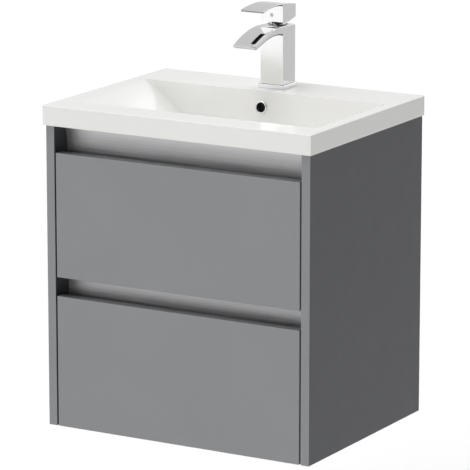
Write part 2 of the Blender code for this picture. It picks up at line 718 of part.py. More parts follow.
def tap_lever():
    """A block over the spindle, drawn out into a thin curved blade."""
    back, front = TAP_LEVER_BACK_Y, TAP_LEVER_FRONT_Y
    over = bezier((back, 0.1408), (-0.062, 0.1480), (-0.100, 0.1500), (-0.139, 0.1420), 10)
    under = bezier((-0.1372, 0.1385), (-0.118, 0.1450), (-0.095, 0.1460), (front, 0.1420), 7)
    outline = [(back, 0.1189)] + over + [(-0.139, 0.1420)] + under
    outline += [(front, 0.1420), (front, 0.1140), (-0.0523, 0.1130)]
    made = plate("tap_lever", tap_side(outline), PLANE_YZ, (0, 0, 0), TAP_HALF_W * 2, CHROME)

    half = 0.0038
    socket = box("lever_socket", (-half, half), (-half, half), (0.020, 0.0404), None, cutters)
    shift = socket.location.copy()
    socket.data.transform(Matrix.Translation(shift))
    socket.location = (0, TAP_Y, tap_level(TAP_PIVOT_H))
    socket.rotation_euler.x = SPINDLE_LEAN

    screw_hole = cylinder("lever_screw_hole", 0.0023, 0.020, None, cutters, 16)
    screw_hole.rotation_euler.x = math.radians(90)
    screw_hole.location = (0, -0.0680, tap_level(TAP_SCREW_H))
    cap_hole = cylinder("lever_cap_hole", 0.0032, 0.010, None, cutters, 24)
    cap_hole.rotation_euler.x = math.radians(90)
    cap_hole.location = (0, front - 0.005 + 0.0018, tap_level(TAP_SCREW_H))
    cut(made, socket, screw_hole, cap_hole)

    screw = cylinder("tap_lever_screw", 0.0020, 0.0070, STEEL, unit, 16)
    screw.rotation_euler.x = math.radians(90)
    screw.location = (0, -0.0667, tap_level(TAP_SCREW_H))
    cap = cylinder("tap_indice", 0.0029, 0.0020, PLASTIC, unit, 24)
    cap.rotation_euler.x = math.radians(90)
    cap.location = (0, front + 0.0018 - GAP - 0.0010, tap_level(TAP_SCREW_H))


def tap_fixing():
    """Below the deck: a stud from the tap, a rubber and a steel horseshoe, and a nut."""
    x, y = 0, TAP_Y - 0.011
    stud_low, stud_high = -0.060, 0.0262
    stud = cylinder("tap_stud", 0.0040, stud_high - stud_low, BRASS, unit, 24)
    stud.location = (x, y, tap_level((stud_low + stud_high) / 2))

    def horseshoe(name, top, thick, finish):
        made = cylinder(name, 0.0235, thick, finish)
        made.location = (x, TAP_Y, tap_level(top - thick / 2))
        hole = cylinder(name + "_hole", 0.0045, 0.020, None, cutters, 24)
        hole.location = (x, y, tap_level(top))
        opening = cylinder(name + "_opening", 0.0110, 0.020, None, cutters)
        opening.location = (x, TAP_Y + 0.0085, tap_level(top))
        gate = box(name + "_gate", (-0.0105, 0.0105), (TAP_Y + 0.0085, TAP_Y + 0.030),
                   (tap_level(top - 0.010), tap_level(top + 0.010)), None, cutters)
        cut(made, hole, opening, gate)

    rubber_top = -DECK_THICK - GAP
    horseshoe("tap_washer_rubber", rubber_top, 0.003, RUBBER)
    steel_top = rubber_top - 0.003 - GAP
    horseshoe("tap_washer_steel", steel_top, 0.002, STEEL)
    nut_top = steel_top - 0.002 - GAP
    nut = cylinder("tap_nut", 0.0075, 0.0065, BRASS, unit, 6)
    nut.location = (x, y, tap_level(nut_top - 0.00325))
    thread = cylinder("tap_nut_thread", 0.0043, 0.030, None, cutters, 24)
    thread.location = (x, y, tap_level(nut_top))
    cut(nut, thread)


carcass()
finger_profiles()
wall_fixing()
lower_drawer()
upper_drawer()
basin()
overflow_ring()
waste()
tap_plate_and_gasket()
tap_body()
tap_cartridge()
tap_lever()
tap_fixing()
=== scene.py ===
"""The looks of a wall-hung vanity unit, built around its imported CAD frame.

Every length is in metres in the frame's own axes: +Z up, +X to the right seen from the front,
the front faces -Y and the wall is the plane Y = 0. Sizes come from the CAD nodes' boxes.
"""

import json
import math

import bmesh
import bpy
from mathutils import Matrix, Vector

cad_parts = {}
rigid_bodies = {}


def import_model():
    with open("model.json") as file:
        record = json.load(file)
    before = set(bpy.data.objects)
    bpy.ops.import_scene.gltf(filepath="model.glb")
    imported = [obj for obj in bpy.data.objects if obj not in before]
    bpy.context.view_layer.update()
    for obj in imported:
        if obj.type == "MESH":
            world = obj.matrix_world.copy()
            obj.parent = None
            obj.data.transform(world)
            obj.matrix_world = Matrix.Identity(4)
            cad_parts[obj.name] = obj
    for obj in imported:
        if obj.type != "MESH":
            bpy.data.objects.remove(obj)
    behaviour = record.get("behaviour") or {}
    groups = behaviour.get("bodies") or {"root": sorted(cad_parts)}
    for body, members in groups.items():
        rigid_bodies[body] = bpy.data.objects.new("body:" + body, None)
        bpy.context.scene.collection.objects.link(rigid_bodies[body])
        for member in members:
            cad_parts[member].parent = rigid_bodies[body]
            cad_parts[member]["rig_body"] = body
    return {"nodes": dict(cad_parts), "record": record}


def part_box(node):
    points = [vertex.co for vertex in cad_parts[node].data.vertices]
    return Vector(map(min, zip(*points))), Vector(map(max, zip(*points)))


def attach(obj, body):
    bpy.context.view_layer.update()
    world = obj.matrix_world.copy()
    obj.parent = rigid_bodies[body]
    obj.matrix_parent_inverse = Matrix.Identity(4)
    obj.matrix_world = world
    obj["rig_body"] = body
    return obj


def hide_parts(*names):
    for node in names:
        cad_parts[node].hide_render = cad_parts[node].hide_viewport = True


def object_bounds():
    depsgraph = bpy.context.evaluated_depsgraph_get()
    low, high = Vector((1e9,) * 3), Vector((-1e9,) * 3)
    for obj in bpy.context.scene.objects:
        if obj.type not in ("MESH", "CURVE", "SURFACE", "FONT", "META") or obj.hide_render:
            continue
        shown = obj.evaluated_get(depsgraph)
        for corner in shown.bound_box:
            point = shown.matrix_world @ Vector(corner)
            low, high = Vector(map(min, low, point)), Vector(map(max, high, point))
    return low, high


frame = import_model()
cad_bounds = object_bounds()

NODES = frame["nodes"]
SLOT_OF = {part["node"]: part["material_slot"] for part in frame["record"]["subparts"]}
SIDES = (("left", -1), ("right", 1))
GAP = 0.0003                    # the frame's gap between pieces that touch
X_AXIS, Y_AXIS, Z_AXIS = 0, 1, 2


def low(node, axis):
    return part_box(node)[0][axis]


def high(node, axis):
    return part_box(node)[1][axis]


def middle(node, axis):
    return (low(node, axis) + high(node, axis)) / 2


# ---------------------------------------------------------------- camera, floor and light

VIEW_AZIMUTH = math.radians(30.13)
VIEW_ELEVATION = math.radians(12.95)
VIEW_DISTANCE = 6.069
VIEW_TARGET = Vector((0.0026, -0.200, -0.1361))
LENS_MM = 277.4                 # on the 36 mm sensor
FLOOR_DROP = 0.30               # from the cabinet's underside to the floor
FLOOR_WHITE = 0.93
FLOOR_GREY = 0.58               # far to the right
GLOW_WAY = (0.25, 0.80, 0.55)   # where the sky is brightest, behind the unit
SHADE_WAY = (-0.49, 0.70, 0.50)  # where it is dimmer, behind on the left


def add_camera():
    back = Vector((math.sin(VIEW_AZIMUTH) * math.cos(VIEW_ELEVATION),
                   -math.cos(VIEW_AZIMUTH) * math.cos(VIEW_ELEVATION), math.sin(VIEW_ELEVATION)))
    data = bpy.data.cameras.new("view")
    data.lens = LENS_MM
    data.clip_end = 200
    camera = bpy.data.objects.new("view", data)
    camera.location = VIEW_TARGET + back * VIEW_DISTANCE
    camera.rotation_euler = (-back).to_track_quat("-Z", "Y").to_euler()
    bpy.context.scene.collection.objects.link(camera)
    bpy.context.scene.camera = camera


def add_light(name, kind, energy, location, target, size):
    """A sun or a soft-edged spot. The size is the sun's angle or the spot's cone."""
    data = bpy.data.lights.new(name, kind)
    data.energy = energy
    if kind == "SUN":
        data.angle = size
    else:
        data.spot_size = size
        data.spot_blend = 1.0
        data.shadow_soft_size = 0.03
    lamp = bpy.data.objects.new(name, data)
    lamp.location = location
    lamp.rotation_euler = (Vector(target) - Vector(location)).to_track_quat("-Z", "Y").to_euler()
    lamp.visible_camera = False
    bpy.context.scene.collection.objects.link(lamp)


def map_range(tree, socket, source, result, smooth=False):
    """Maps one range of a socket's values onto another."""
    made = tree.nodes.new("ShaderNodeMapRange")
    made.interpolation_type = "SMOOTHSTEP" if smooth else "LINEAR"
    for name, value in zip(("From Min", "From Max", "To Min", "To Max"), (*source, *result)):
        made.inputs[name].default_value = value
    tree.links.new(socket, made.inputs["Value"])
    return made.outputs["Result"]


def combine(tree, operation, first, second):
    made = tree.nodes.new("ShaderNodeMath")
    made.operation = operation
    tree.links.new(first, made.inputs[0])
    tree.links.new(second, made.inputs[1])
    return made.outputs[0]


def closeness(tree, where, direction):
    """The cosine of the angle between the direction looked in and this one."""
    made = tree.nodes.new("ShaderNodeVectorMath")
    made.operation = "DOT_PRODUCT"
    made.inputs[1].default_value = Vector(direction).normalized()
    tree.links.new(where, made.inputs[0])
    return made.outputs["Value"]


def add_world(horizon, left, right, back_glow, dimmed):
    """A pale dome that dims towards the right, with a white band along the horizon and a glow behind.

    Behind on the left it is a little dimmer again, which the basin's deck and the tap's tops reflect.
    """
    world = bpy.data.worlds.new("studio")
    world.use_nodes = True
    bpy.context.scene.world = world
    tree = world.node_tree
    background = tree.nodes["Background"]
    background.inputs["Color"].default_value = (1, 1, 1, 1)
    where = tree.nodes.new("ShaderNodeTexCoord").outputs["Generated"]
    split = tree.nodes.new("ShaderNodeSeparateXYZ")
    tree.links.new(where, split.inputs[0])
    dome = map_range(tree, split.outputs["X"], (-0.30, 0.5), (left, right), True)
    band = map_range(tree, split.outputs["Z"], (0.03, 0.16), (horizon, 0.0), True)
    glow = map_range(tree, closeness(tree, where, GLOW_WAY), (0.80, 0.96), (0.0, back_glow), True)
    shade = map_range(tree, closeness(tree, where, SHADE_WAY), (0.80, 0.93), (1.0, dimmed), True)
    bright = combine(tree, "ADD", combine(tree, "MAXIMUM", dome, band), glow)
    tree.links.new(combine(tree, "MULTIPLY", bright, shade), background.inputs["Strength"])


def add_studio():
    """The floor, the sky, an overhead light, and a small one for the left end of the bowl."""
    bpy.context.scene.view_settings.view_transform = "Standard"
    floor_z = cad_bounds[0].z - FLOOR_DROP
    bpy.ops.mesh.primitive_circle_add(vertices=96, radius=60, fill_type="NGON", location=(0, 0, floor_z))
    floor = bpy.context.object
    floor.name = "floor"
    floor.data.materials.append(floor_paint())
    add_world(horizon=0.97, left=1.18, right=0.06, back_glow=1.35, dimmed=0.57)
    add_light("overhead", "SUN", 1.0, (-0.5, -1.0, 4.0), (0, 0, 0), math.radians(25))
    add_light("bowl_fill", "SPOT", 13, (0.47, -0.21, 1.10), (-0.132, -0.170, 0.030), math.radians(10))


# ---------------------------------------------------------------- materials

NOISE_RANGE = (0.3, 0.7)        # where nearly all of a noise texture's values lie


def plain_surface(name, colour, roughness, metallic=0.0, **constants):
    """A Principled material. Numbers that don't vary are set on the shader's own sockets."""
    made = bpy.data.materials.new(name)
    made.use_nodes = True
    inputs = made.node_tree.nodes["Principled BSDF"].inputs
    inputs["Base Color"].default_value = (*colour, 1)
    inputs["Roughness"].default_value = roughness
    inputs["Metallic"].default_value = metallic
    for socket, value in constants.items():
        inputs[socket.replace("_", " ")].default_value = value
    return made


def floor_paint():
    """White, and a little greyer far to the right, where the studio is dimmer."""
    made = plain_surface("floor_paint", (FLOOR_WHITE, FLOOR_WHITE, FLOOR_WHITE), 0.8)
    tree = made.node_tree
    where = tree.nodes.new("ShaderNodeTexCoord")
    split = tree.nodes.new("ShaderNodeSeparateXYZ")
    tree.links.new(where.outputs["Object"], split.inputs[0])
    fall = map_range(tree, split.outputs["X"], (0.3, 2.2), (FLOOR_WHITE, FLOOR_GREY))
    tree.links.new(fall, tree.nodes["Principled BSDF"].inputs["Base Color"])
    return made


def noise(made, scale, detail=2.0, stretch=(1, 1, 1)):
    """Noise in the object's own metres, so that its grain is the same size on every piece."""
    tree = made.node_tree
    where = tree.nodes.new("ShaderNodeTexCoord")
    mapping = tree.nodes.new("ShaderNodeMapping")
    mapping.inputs["Scale"].default_value = stretch
    grain = tree.nodes.new("ShaderNodeTexNoise")
    grain.inputs["Scale"].default_value = scale
    grain.inputs["Detail"].default_value = detail
    tree.links.new(where.outputs["Object"], mapping.inputs["Vector"])
    tree.links.new(mapping.outputs["Vector"], grain.inputs["Vector"])
    return grain.outputs["Fac"]


def spangle(made, scale):
    """The flat crystals of zinc plating: one grey for each Voronoi cell."""
    tree = made.node_tree
    where = tree.nodes.new("ShaderNodeTexCoord")
    cells = tree.nodes.new("ShaderNodeTexVoronoi")
    cells.inputs["Scale"].default_value = scale
    tree.links.new(where.outputs["Object"], cells.inputs["Vector"])
    split = tree.nodes.new("ShaderNodeSeparateColor")
    tree.links.new(cells.outputs["Color"], split.inputs["Color"])
    return split.outputs["Red"]


def vary(made, factor, socket, first, last):
    """Varies one of the shader's numbers between two values."""
    tree = made.node_tree
    varied = map_range(tree, factor, NOISE_RANGE, (first, last))
    tree.links.new(varied, tree.nodes["Principled BSDF"].inputs[socket])


def tint(made, factor, first, last):
    """Varies the base colour between two colours."""
    tree = made.node_tree
    ramp = tree.nodes.new("ShaderNodeValToRGB")
    for stop, position, colour in zip(ramp.color_ramp.elements, NOISE_RANGE, (first, last)):
        stop.position = position
        stop.color = (*colour, 1)
    tree.links.new(factor, ramp.inputs["Fac"])
    tree.links.new(ramp.outputs["Color"], tree.nodes["Principled BSDF"].inputs["Base Color"])


def bump(made, height, strength, distance):
    """Relief of the shading only."""
    tree = made.node_tree
    relief = tree.nodes.new("ShaderNodeBump")
    relief.inputs["Strength"].default_value = strength
    relief.inputs["Distance"].default_value = distance
    tree.links.new(height, relief.inputs["Height"])
    tree.links.new(relief.outputs["Normal"], tree.nodes["Principled BSDF"].inputs["Normal"])


def shades(colour, spread):
    """The colour a little darker, and a little lighter."""
    return [tuple(c * (1 + sign * spread) for c in colour) for sign in (-1, 1)]


def lacquer(name, colour):
    """Sprayed satin paint: even colour with a faint cloudiness and a fine orange peel."""
    made = plain_surface(name, colour, 0.42, IOR=1.5, Specular_IOR_Level=0.2)
    tint(made, noise(made, 7, 3), *shades(colour, 0.02))
    vary(made, noise(made, 45, 3), "Roughness", 0.39, 0.45)
    bump(made, noise(made, 900, 1), 0.06, 0.0002)
    return made


def melamine(name, colour):
    """Printed board paper with short fine pores along the board."""
    made = plain_surface(name, colour, 0.5)
    tint(made, noise(made, 30, 5, (3, 0.6, 3)), *shades(colour, 0.05))
    vary(made, noise(made, 60, 3), "Roughness", 0.45, 0.55)
    bump(made, noise(made, 500, 2, (2, 0.2, 2)), 0.12, 0.0003)
    return made


def brushed(name, colour, low_rough, high_rough):
    """Metal brushed along X."""
    made = plain_surface(name, colour, low_rough, 1.0, Anisotropic=0.4)
    lines = noise(made, 420, 6, (0.012, 1, 1))
    tint(made, lines, *shades(colour, 0.08))
    vary(made, lines, "Roughness", low_rough, high_rough)
    bump(made, lines, 0.08, 0.0002)
    return made


def zinc(name, colour):
    """Galvanised steel."""
    made = plain_surface(name, colour, 0.35, 1.0)
    tint(made, spangle(made, 420), *shades(colour, 0.05))
    vary(made, noise(made, 120, 3), "Roughness", 0.28, 0.44)
    bump(made, noise(made, 400, 2), 0.05, 0.0002)
    return made


def polished(name, colour, low_rough, high_rough):
    """Plated or polished metal with faint smears."""
    made = plain_surface(name, colour, low_rough, 1.0)
    tint(made, noise(made, 30, 2), *shades(colour, 0.012))
    vary(made, noise(made, 55, 4), "Roughness", low_rough, high_rough)
    return made


def glaze(name, colour):
    """Gel-coated cast resin: glossy, with a very slight unevenness."""
    made = plain_surface(name, colour, 0.12, IOR=1.5, Coat_Weight=0.35, Coat_Roughness=0.06)
    tint(made, noise(made, 5, 2), *shades(colour, 0.008))
    vary(made, noise(made, 14, 3), "Roughness", 0.10, 0.16)
    return made


def moulded(name, colour, roughness, grain, relief):
    """Plastic or rubber with the fine texture of its mould."""
    made = plain_surface(name, colour, roughness)
    tint(made, noise(made, 25, 2), *shades(colour, 0.03))
    vary(made, noise(made, 90, 2), "Roughness", roughness - 0.05, roughness + 0.05)
    bump(made, noise(made, grain, 2), relief, 0.0003)
    return made


FRONT_GREY = (0.268, 0.272, 0.280)
# the carcass lacquer's grey is darker than the fronts' by painted shade, so that the side panels' outer
# faces look shaded
PANEL_GREY_PAINTED_SHADE = (0.106, 0.108, 0.114)

FINISHES = {
    "front_lacquer": lacquer("front_lacquer", FRONT_GREY),
    "carcass_lacquer": lacquer("carcass_lacquer", PANEL_GREY_PAINTED_SHADE),
    "drawer_board": melamine("drawer_board", (0.46, 0.46, 0.465)),
    "brushed_aluminium": brushed("brushed_aluminium", (0.62, 0.62, 0.63), 0.34, 0.46),
    "galvanised_steel": zinc("galvanised_steel", (0.56, 0.57, 0.58)),
    "stainless_steel": polished("stainless_steel", (0.60, 0.60, 0.60), 0.20, 0.30),
    "basin_white": glaze("basin_white", (0.89, 0.887, 0.870)),
    "chrome": polished("chrome", (0.80, 0.80, 0.81), 0.04, 0.07),
    "brass": polished("brass", (0.70, 0.53, 0.24), 0.22, 0.34),
    "black_rubber": moulded("black_rubber", (0.022, 0.022, 0.022), 0.75, 700, 0.2),
    "white_plastic": moulded("white_plastic", (0.78, 0.78, 0.77), 0.40, 900, 0.08),
    "guard_plastic": moulded("guard_plastic", (0.33, 0.33, 0.34), 0.45, 800, 0.15),
}

# finishes that part of a piece takes, beside its slot's own; each is painted shade or painted light on
# those faces
# painted shade: a darker copy of the carcass lacquer for the side panels' inner faces in the finger
# recesses
INNER_BOARD_PAINTED_SHADE = lacquer("inner_board_painted_shade", (0.050, 0.051, 0.054))
# painted shade: a darker copy of the front lacquer for the fronts' top faces, under the basin and the
# front above
FRONT_TOP_PAINTED_SHADE = lacquer("front_top_edge_painted_shade", (0.108, 0.110, 0.114))
# painted shade: a slightly darker copy of the basin's glaze for the rim's front face
RIM_FRONT_PAINTED_SHADE = glaze("rim_front_painted_shade", (0.83, 0.828, 0.812))
# painted shadow: near black for the overflow duct's walls and the tap's outlet slot, where shadow falls
PAINTED_SHADOW_BLACK = moulded("duct_and_slot_painted_shadow", (0.012, 0.012, 0.012), 0.85, 300, 0.3)
# painted shade: a darker copy of the chrome for the undersides at the spout's and the blade's tips
LIP_CHROME_PAINTED_SHADE = polished("lip_chrome_painted_shade", (0.42, 0.42, 0.43), 0.25, 0.35)
# painted shadow and painted dark reflection: near-black chrome for the underside chamfers and the dome's
# flange
CHROME_PAINTED_DARK = polished("chrome_painted_shadow_and_dark_reflection", (0.045, 0.045, 0.045), 0.25, 0.35)
# painted light: a brighter, blurrier copy of the chrome for the front faces of the column and the lever's
# block
CHROME_PAINTED_LIGHT = polished("front_chrome_painted_light", (0.94, 0.94, 0.935), 0.15, 0.19)

# ---------------------------------------------------------------- mesh helpers


def link_mesh(name, mesh):
    made = bpy.data.objects.new(name, mesh)
    bpy.context.scene.collection.objects.link(made)
    return made


def from_bmesh(name, shape):
    mesh = bpy.data.meshes.new(name)
    shape.to_mesh(mesh)
    shape.free()
    return link_mesh(name, mesh)


def stand_for(piece, *nodes):
    """The piece takes the first CAD node's body, finish and place, and the nodes are hidden."""
    slot = SLOT_OF[nodes[0]]
    piece.data.materials.clear()
    piece.data.materials.append(FINISHES[slot])
    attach(piece, NODES[nodes[0]]["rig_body"])
    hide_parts(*nodes)
    return piece


def added(piece, body, slot):
    """An extra piece that stands for no CAD node."""
    piece.data.materials.clear()
    piece.data.materials.append(FINISHES[slot])
    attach(piece, body)


def finish_faces(made, finish, chosen):
    """Gives the piece a further material on the faces for which chosen(centre, normal) is true."""
    made.data.materials.append(finish)
    index = len(made.data.materials) - 1
    for face in made.data.polygons:
        if chosen(face.center, face.normal):
            face.material_index = index


def round_edges(made, width, segments=3, angle=30):
    """Rounds every edge sharper than the angle, and shades the result smooth."""
    made.data.shade_smooth()
    bevel = made.modifiers.new("edges", "BEVEL")
    bevel.width = width
    bevel.segments = segments
    bevel.limit_method = "ANGLE"
    bevel.angle_limit = math.radians(angle)
    bevel.harden_normals = True
    bevel.miter_outer = "MITER_ARC"
    return made


def keep_flats(made):
    """Shades a carved piece smooth across its roundings and flat across its large faces."""
    stored = made.data.attributes.get("custom_normal")
    if stored is not None:
        made.data.attributes.remove(stored)
    made.data.shade_smooth()
    made.data.set_sharp_from_angle(angle=math.radians(32))
    weights = made.modifiers.new("flats", "WEIGHTED_NORMAL")
    weights.keep_sharp = True
    return made


def block(name, x, y, z):
    """A box between the two values of each of x, y and z."""
    shape = bmesh.new()
    bmesh.ops.create_cube(shape, size=1.0)
    size = Vector((abs(x[1] - x[0]), abs(y[1] - y[0]), abs(z[1] - z[0])))
    bmesh.ops.scale(shape, vec=size, verts=shape.verts)
    bmesh.ops.translate(shape, vec=((x[0] + x[1]) / 2, (y[0] + y[1]) / 2, (z[0] + z[1]) / 2),
                        verts=shape.verts)
    return from_bmesh(name, shape)


def rod(name, radius, length, centre, turn=Matrix.Identity(4), facets=64):
    """A cylinder along its own Z, turned and then placed."""
    shape = bmesh.new()
    bmesh.ops.create_cone(shape, cap_ends=True, segments=facets, radius1=radius, radius2=radius,
                          depth=length)
    shape.transform(Matrix.Translation(centre) @ turn)
    return from_bmesh(name, shape)


def slab(name, outline, across, axis=X_AXIS):
    """A flat outline given thickness between two values: (y, z) points along X, (x, y) points along Z."""
    shape = bmesh.new()
    place = (lambda u, v, w: (w, u, v)) if axis == X_AXIS else (lambda u, v, w: (u, v, w))
    face = shape.faces.new([shape.verts.new(place(u, v, across[0])) for u, v in outline])
    grown = bmesh.ops.extrude_face_region(shape, geom=[face])["geom"]
    moved = [item for item in grown if isinstance(item, bmesh.types.BMVert)]
    step = Vector(place(0, 0, across[1] - across[0]))
    bmesh.ops.translate(shape, verts=moved, vec=step)
    bmesh.ops.recalc_face_normals(shape, faces=shape.faces)
    return from_bmesh(name, shape)


def sheet_strip(name, path, across, thickness, along=X_AXIS):
    """Sheet metal bent along a path: (y, z) points run along X, (x, z) points run along Y."""
    place = (lambda u, v, w: (w, u, v)) if along == X_AXIS else (lambda u, v, w: (u, w, v))
    shape = bmesh.new()
    first = [shape.verts.new(place(u, v, across[0])) for u, v in path]
    edges = [shape.edges.new(pair) for pair in zip(first, first[1:])]
    grown = bmesh.ops.extrude_edge_only(shape, edges=edges)["geom"]
    moved = [item for item in grown if isinstance(item, bmesh.types.BMVert)]
    bmesh.ops.translate(shape, verts=moved, vec=Vector(place(0, 0, across[1] - across[0])))
    made = from_bmesh(name, shape)
    shell = made.modifiers.new("sheet", "SOLIDIFY")
    shell.thickness = thickness
    shell.offset = 0
    shell.use_even_offset = True
    return made


def lathe(name, profile, centre, facets=96, turn=Matrix.Identity(4)):
    """A turned piece. The profile of (radius, height) points runs down its outer side."""
    count = len(profile)
    closed = profile[0][0] > 0
    edges = [(i, i + 1) for i in range(count - 1)] + ([(count - 1, 0)] if closed else [])
    mesh = bpy.data.meshes.new(name)
    mesh.from_pydata([(radius, 0, height) for radius, height in profile], edges, [])
    made = link_mesh(name, mesh)
    made.matrix_world = Matrix.Translation(centre) @ turn
    screw = made.modifiers.new("turn", "SCREW")
    screw.steps = facets
    screw.render_steps = facets
    screw.use_merge_vertices = True
    screw.merge_threshold = 0.00001
    return made


def boolean(made, operation, *tools):
    """Adds a boolean modifier for each tool."""
    for tool in tools:
        step = made.modifiers.new(operation.lower(), "BOOLEAN")
        step.operation = operation
        step.solver = "EXACT"
        step.object = tool
    return made


def settle(made, *tools):
    """Applies the modifiers into a new mesh, and removes the cutters that they used."""
    evaluated = made.evaluated_get(bpy.context.evaluated_depsgraph_get())
    mesh = bpy.data.meshes.new_from_object(evaluated)
    made.modifiers.clear()
    made.data = mesh
    for tool in tools:
        bpy.data.objects.remove(tool, do_unlink=True)
    return made


def carve(made, *tools):
    return settle(boolean(made, "DIFFERENCE", *tools), *tools)


def fuse(made, *tools):
    return settle(boolean(made, "UNION", *tools), *tools)


def bezier(start, lead, trail, end, steps):
    """Points along a cubic curve, without its last one."""
    points = []
    for i in range(steps):
        t = i / steps
        a, b, c, d = (1 - t) ** 3, 3 * t * (1 - t) ** 2, 3 * t * t * (1 - t), t ** 3
        points.append(tuple(a * p + b * q + c * r + d * s
                            for p, q, r, s in zip(start, lead, trail, end)))
    return points


def rounded(path, radius, steps=5, closed=False):
    """The path with its corners cut by short curves, like sheet bent round a tool."""
    count = len(path)
    points = []
    for i, corner in enumerate(path):
        if not closed and i in (0, count - 1):
            points.append(tuple(corner))
            continue
        here = Vector(corner)
        before, after = Vector(path[i - 1]), Vector(path[(i + 1) % count])
        room = min((before - here).length, (after - here).length) / 2.02
        reach = min(radius, room)
        first = here + (before - here).normalized() * reach
        last = here + (after - here).normalized() * reach
        lead, trail = first.lerp(here, 0.55), last.lerp(here, 0.55)
        points += bezier(tuple(first), tuple(lead), tuple(trail), tuple(last), steps)
        points.append(tuple(last))
    return points


def join_meshes(name, pieces):
    """One object from several small ones, such as all of a drawer's screws."""
    shape = bmesh.new()
    for piece in pieces:
        evaluated = piece.evaluated_get(bpy.context.evaluated_depsgraph_get())
        mesh = evaluated.to_mesh()
        mesh.transform(piece.matrix_world)
        shape.from_mesh(mesh)
        evaluated.to_mesh_clear()
    for piece in pieces:
        bpy.data.objects.remove(piece, do_unlink=True)
    made = from_bmesh(name, shape)
    made.data.shade_smooth()
    made.data.set_sharp_from_angle(angle=math.radians(35))
    return made


# ---------------------------------------------------------------- boards


def board(node, edge):
    """A flat board with eased edges, the size of its CAD node."""
    (x0, y0, z0), (x1, y1, z1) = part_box(node)
    made = block(node + "_board", (x0, x1), (y0, y1), (z0, z1))
    return stand_for(round_edges(made, edge), node)


def cabinet_boards():
    """Every plain board: the carcass, the drawer fronts and the drawer boxes."""
    for side, sign in SIDES:
        panel = board("side_panel_" + side, 0.0008)
        # the front edge takes the drawer fronts' lacquer; the outer face's darker carcass grey is painted
        # shade, and the inner face is darker still, more painted shade
        finish_faces(panel, FINISHES["front_lacquer"], lambda _, normal: normal.y < -0.5)
        finish_faces(panel, INNER_BOARD_PAINTED_SHADE, lambda _, normal, sign=sign: normal.x * sign < -0.5)
    for node in ("bottom_panel", "back_rail_lower", "back_rail_upper"):
        board(node, 0.0005)
    for node in ("lower_drawer_front", "upper_drawer_front"):
        # the fronts' top faces take painted shade
        finish_faces(board(node, 0.0010), FRONT_TOP_PAINTED_SHADE, lambda _, normal: normal.z > 0.9)
    for drawer in ("lower", "upper"):
        for side, _ in SIDES:
            board(f"{drawer}_drawer_side_{side}", 0.0006)
    for node in ("lower_drawer_back", "lower_drawer_base", "upper_drawer_back_left",
                 "upper_drawer_back_right"):
        board(node, 0.0006)


GUARD_WALL = 0.008              # thickness of the wall round the trap cut-out


def upper_base():
    """The upper drawer's base, cut away for the trap."""
    (x0, y0, z0), (x1, y1, z1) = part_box("upper_drawer_base")
    made = block("upper_drawer_base_board", (x0, x1), (y0, y1), (z0, z1))
    guard_low, guard_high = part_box("upper_trap_guard")
    notch = block("notch", (guard_low.x + GUARD_WALL, guard_high.x - GUARD_WALL),
                  (guard_low.y + GUARD_WALL, y1 + 0.01), (z0 - 0.01, z1 + 0.01))
    stand_for(round_edges(carve(made, notch), 0.0006), "upper_drawer_base")


def trap_guard():
    """A moulded U with round corners, standing round the trap cut-out."""
    (x0, y0, z0), (x1, y1, z1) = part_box("upper_trap_guard")
    corner = 0.014
    outer = rounded([(x0, y1), (x0, y0), (x1, y0), (x1, y1)], corner, 8)
    in_x0, in_x1, in_y0 = x0 + GUARD_WALL, x1 - GUARD_WALL, y0 + GUARD_WALL
    inner = rounded([(in_x1, y1), (in_x1, in_y0), (in_x0, in_y0), (in_x0, y1)], corner - GUARD_WALL, 8)
    made = slab("upper_trap_guard_moulding", outer + inner, (z0, z1), Z_AXIS)
    stand_for(round_edges(made, 0.0010), "upper_trap_guard")


# ---------------------------------------------------------------- sheet metal


def upper_web(top, web_y, foot):
    """The upper cove's nearly straight web, as (y, z) points from its top edge down."""
    top_y = web_y - 0.0050
    return [(top_y, top)] + bezier((top_y + 0.0006, top - 0.006), (top_y + 0.0032, top - 0.020),
                                   (web_y, foot + 0.042), (web_y, foot + 0.018), 18)


def middle_web(top, web_y, foot, lip_y):
    """The middle cove's web, which also curls forwards under the front above it."""
    top_y = web_y - 0.0065
    bend = (top_y + 0.0045, top - 0.014)
    path = bezier((lip_y, top - 0.0055), (lip_y + 0.004, top + 0.0010), (top_y + 0.001, top + 0.0012),
                  bend, 18)
    return path + bezier(bend, (web_y, top - 0.022), (web_y, foot + 0.030), (web_y, foot + 0.018), 10)


def finger_profiles():
    """The extruded coves behind the finger gaps, each with a curled lip behind the front below it."""
    sheet = 0.0015
    half = sheet / 2
    for node in ("finger_profile_upper", "finger_profile_middle"):
        (x0, y0, z0), (x1, y1, z1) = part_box(node)
        lip_y, web_y, foot = y0 + half, y1 - half, z0 + half
        if node == "finger_profile_upper":
            path = upper_web(z1, web_y, foot)
        else:
            path = middle_web(z1 - half, web_y, foot, lip_y)
        path += bezier((web_y, foot + 0.018), (web_y, foot - 0.0010), (lip_y + 0.004, foot - 0.0012),
                       (lip_y, foot + 0.007), 18)
        path.append((lip_y, foot + 0.007))
        made = sheet_strip(node + "_extrusion", path, (x0, x1), sheet)
        stand_for(round_edges(made, 0.0003, 2), node)


RUNNER_STEEL = 0.0012
FORWARDS = Matrix.Rotation(math.radians(90), 4, "X")     # turns +Z to face the front
BACKWARDS = Matrix.Rotation(math.radians(-90), 4, "X")


def towards(sign):
    """Turns +Z to face +X or -X."""
    return Matrix.Rotation(math.radians(90 * sign), 4, "Y")


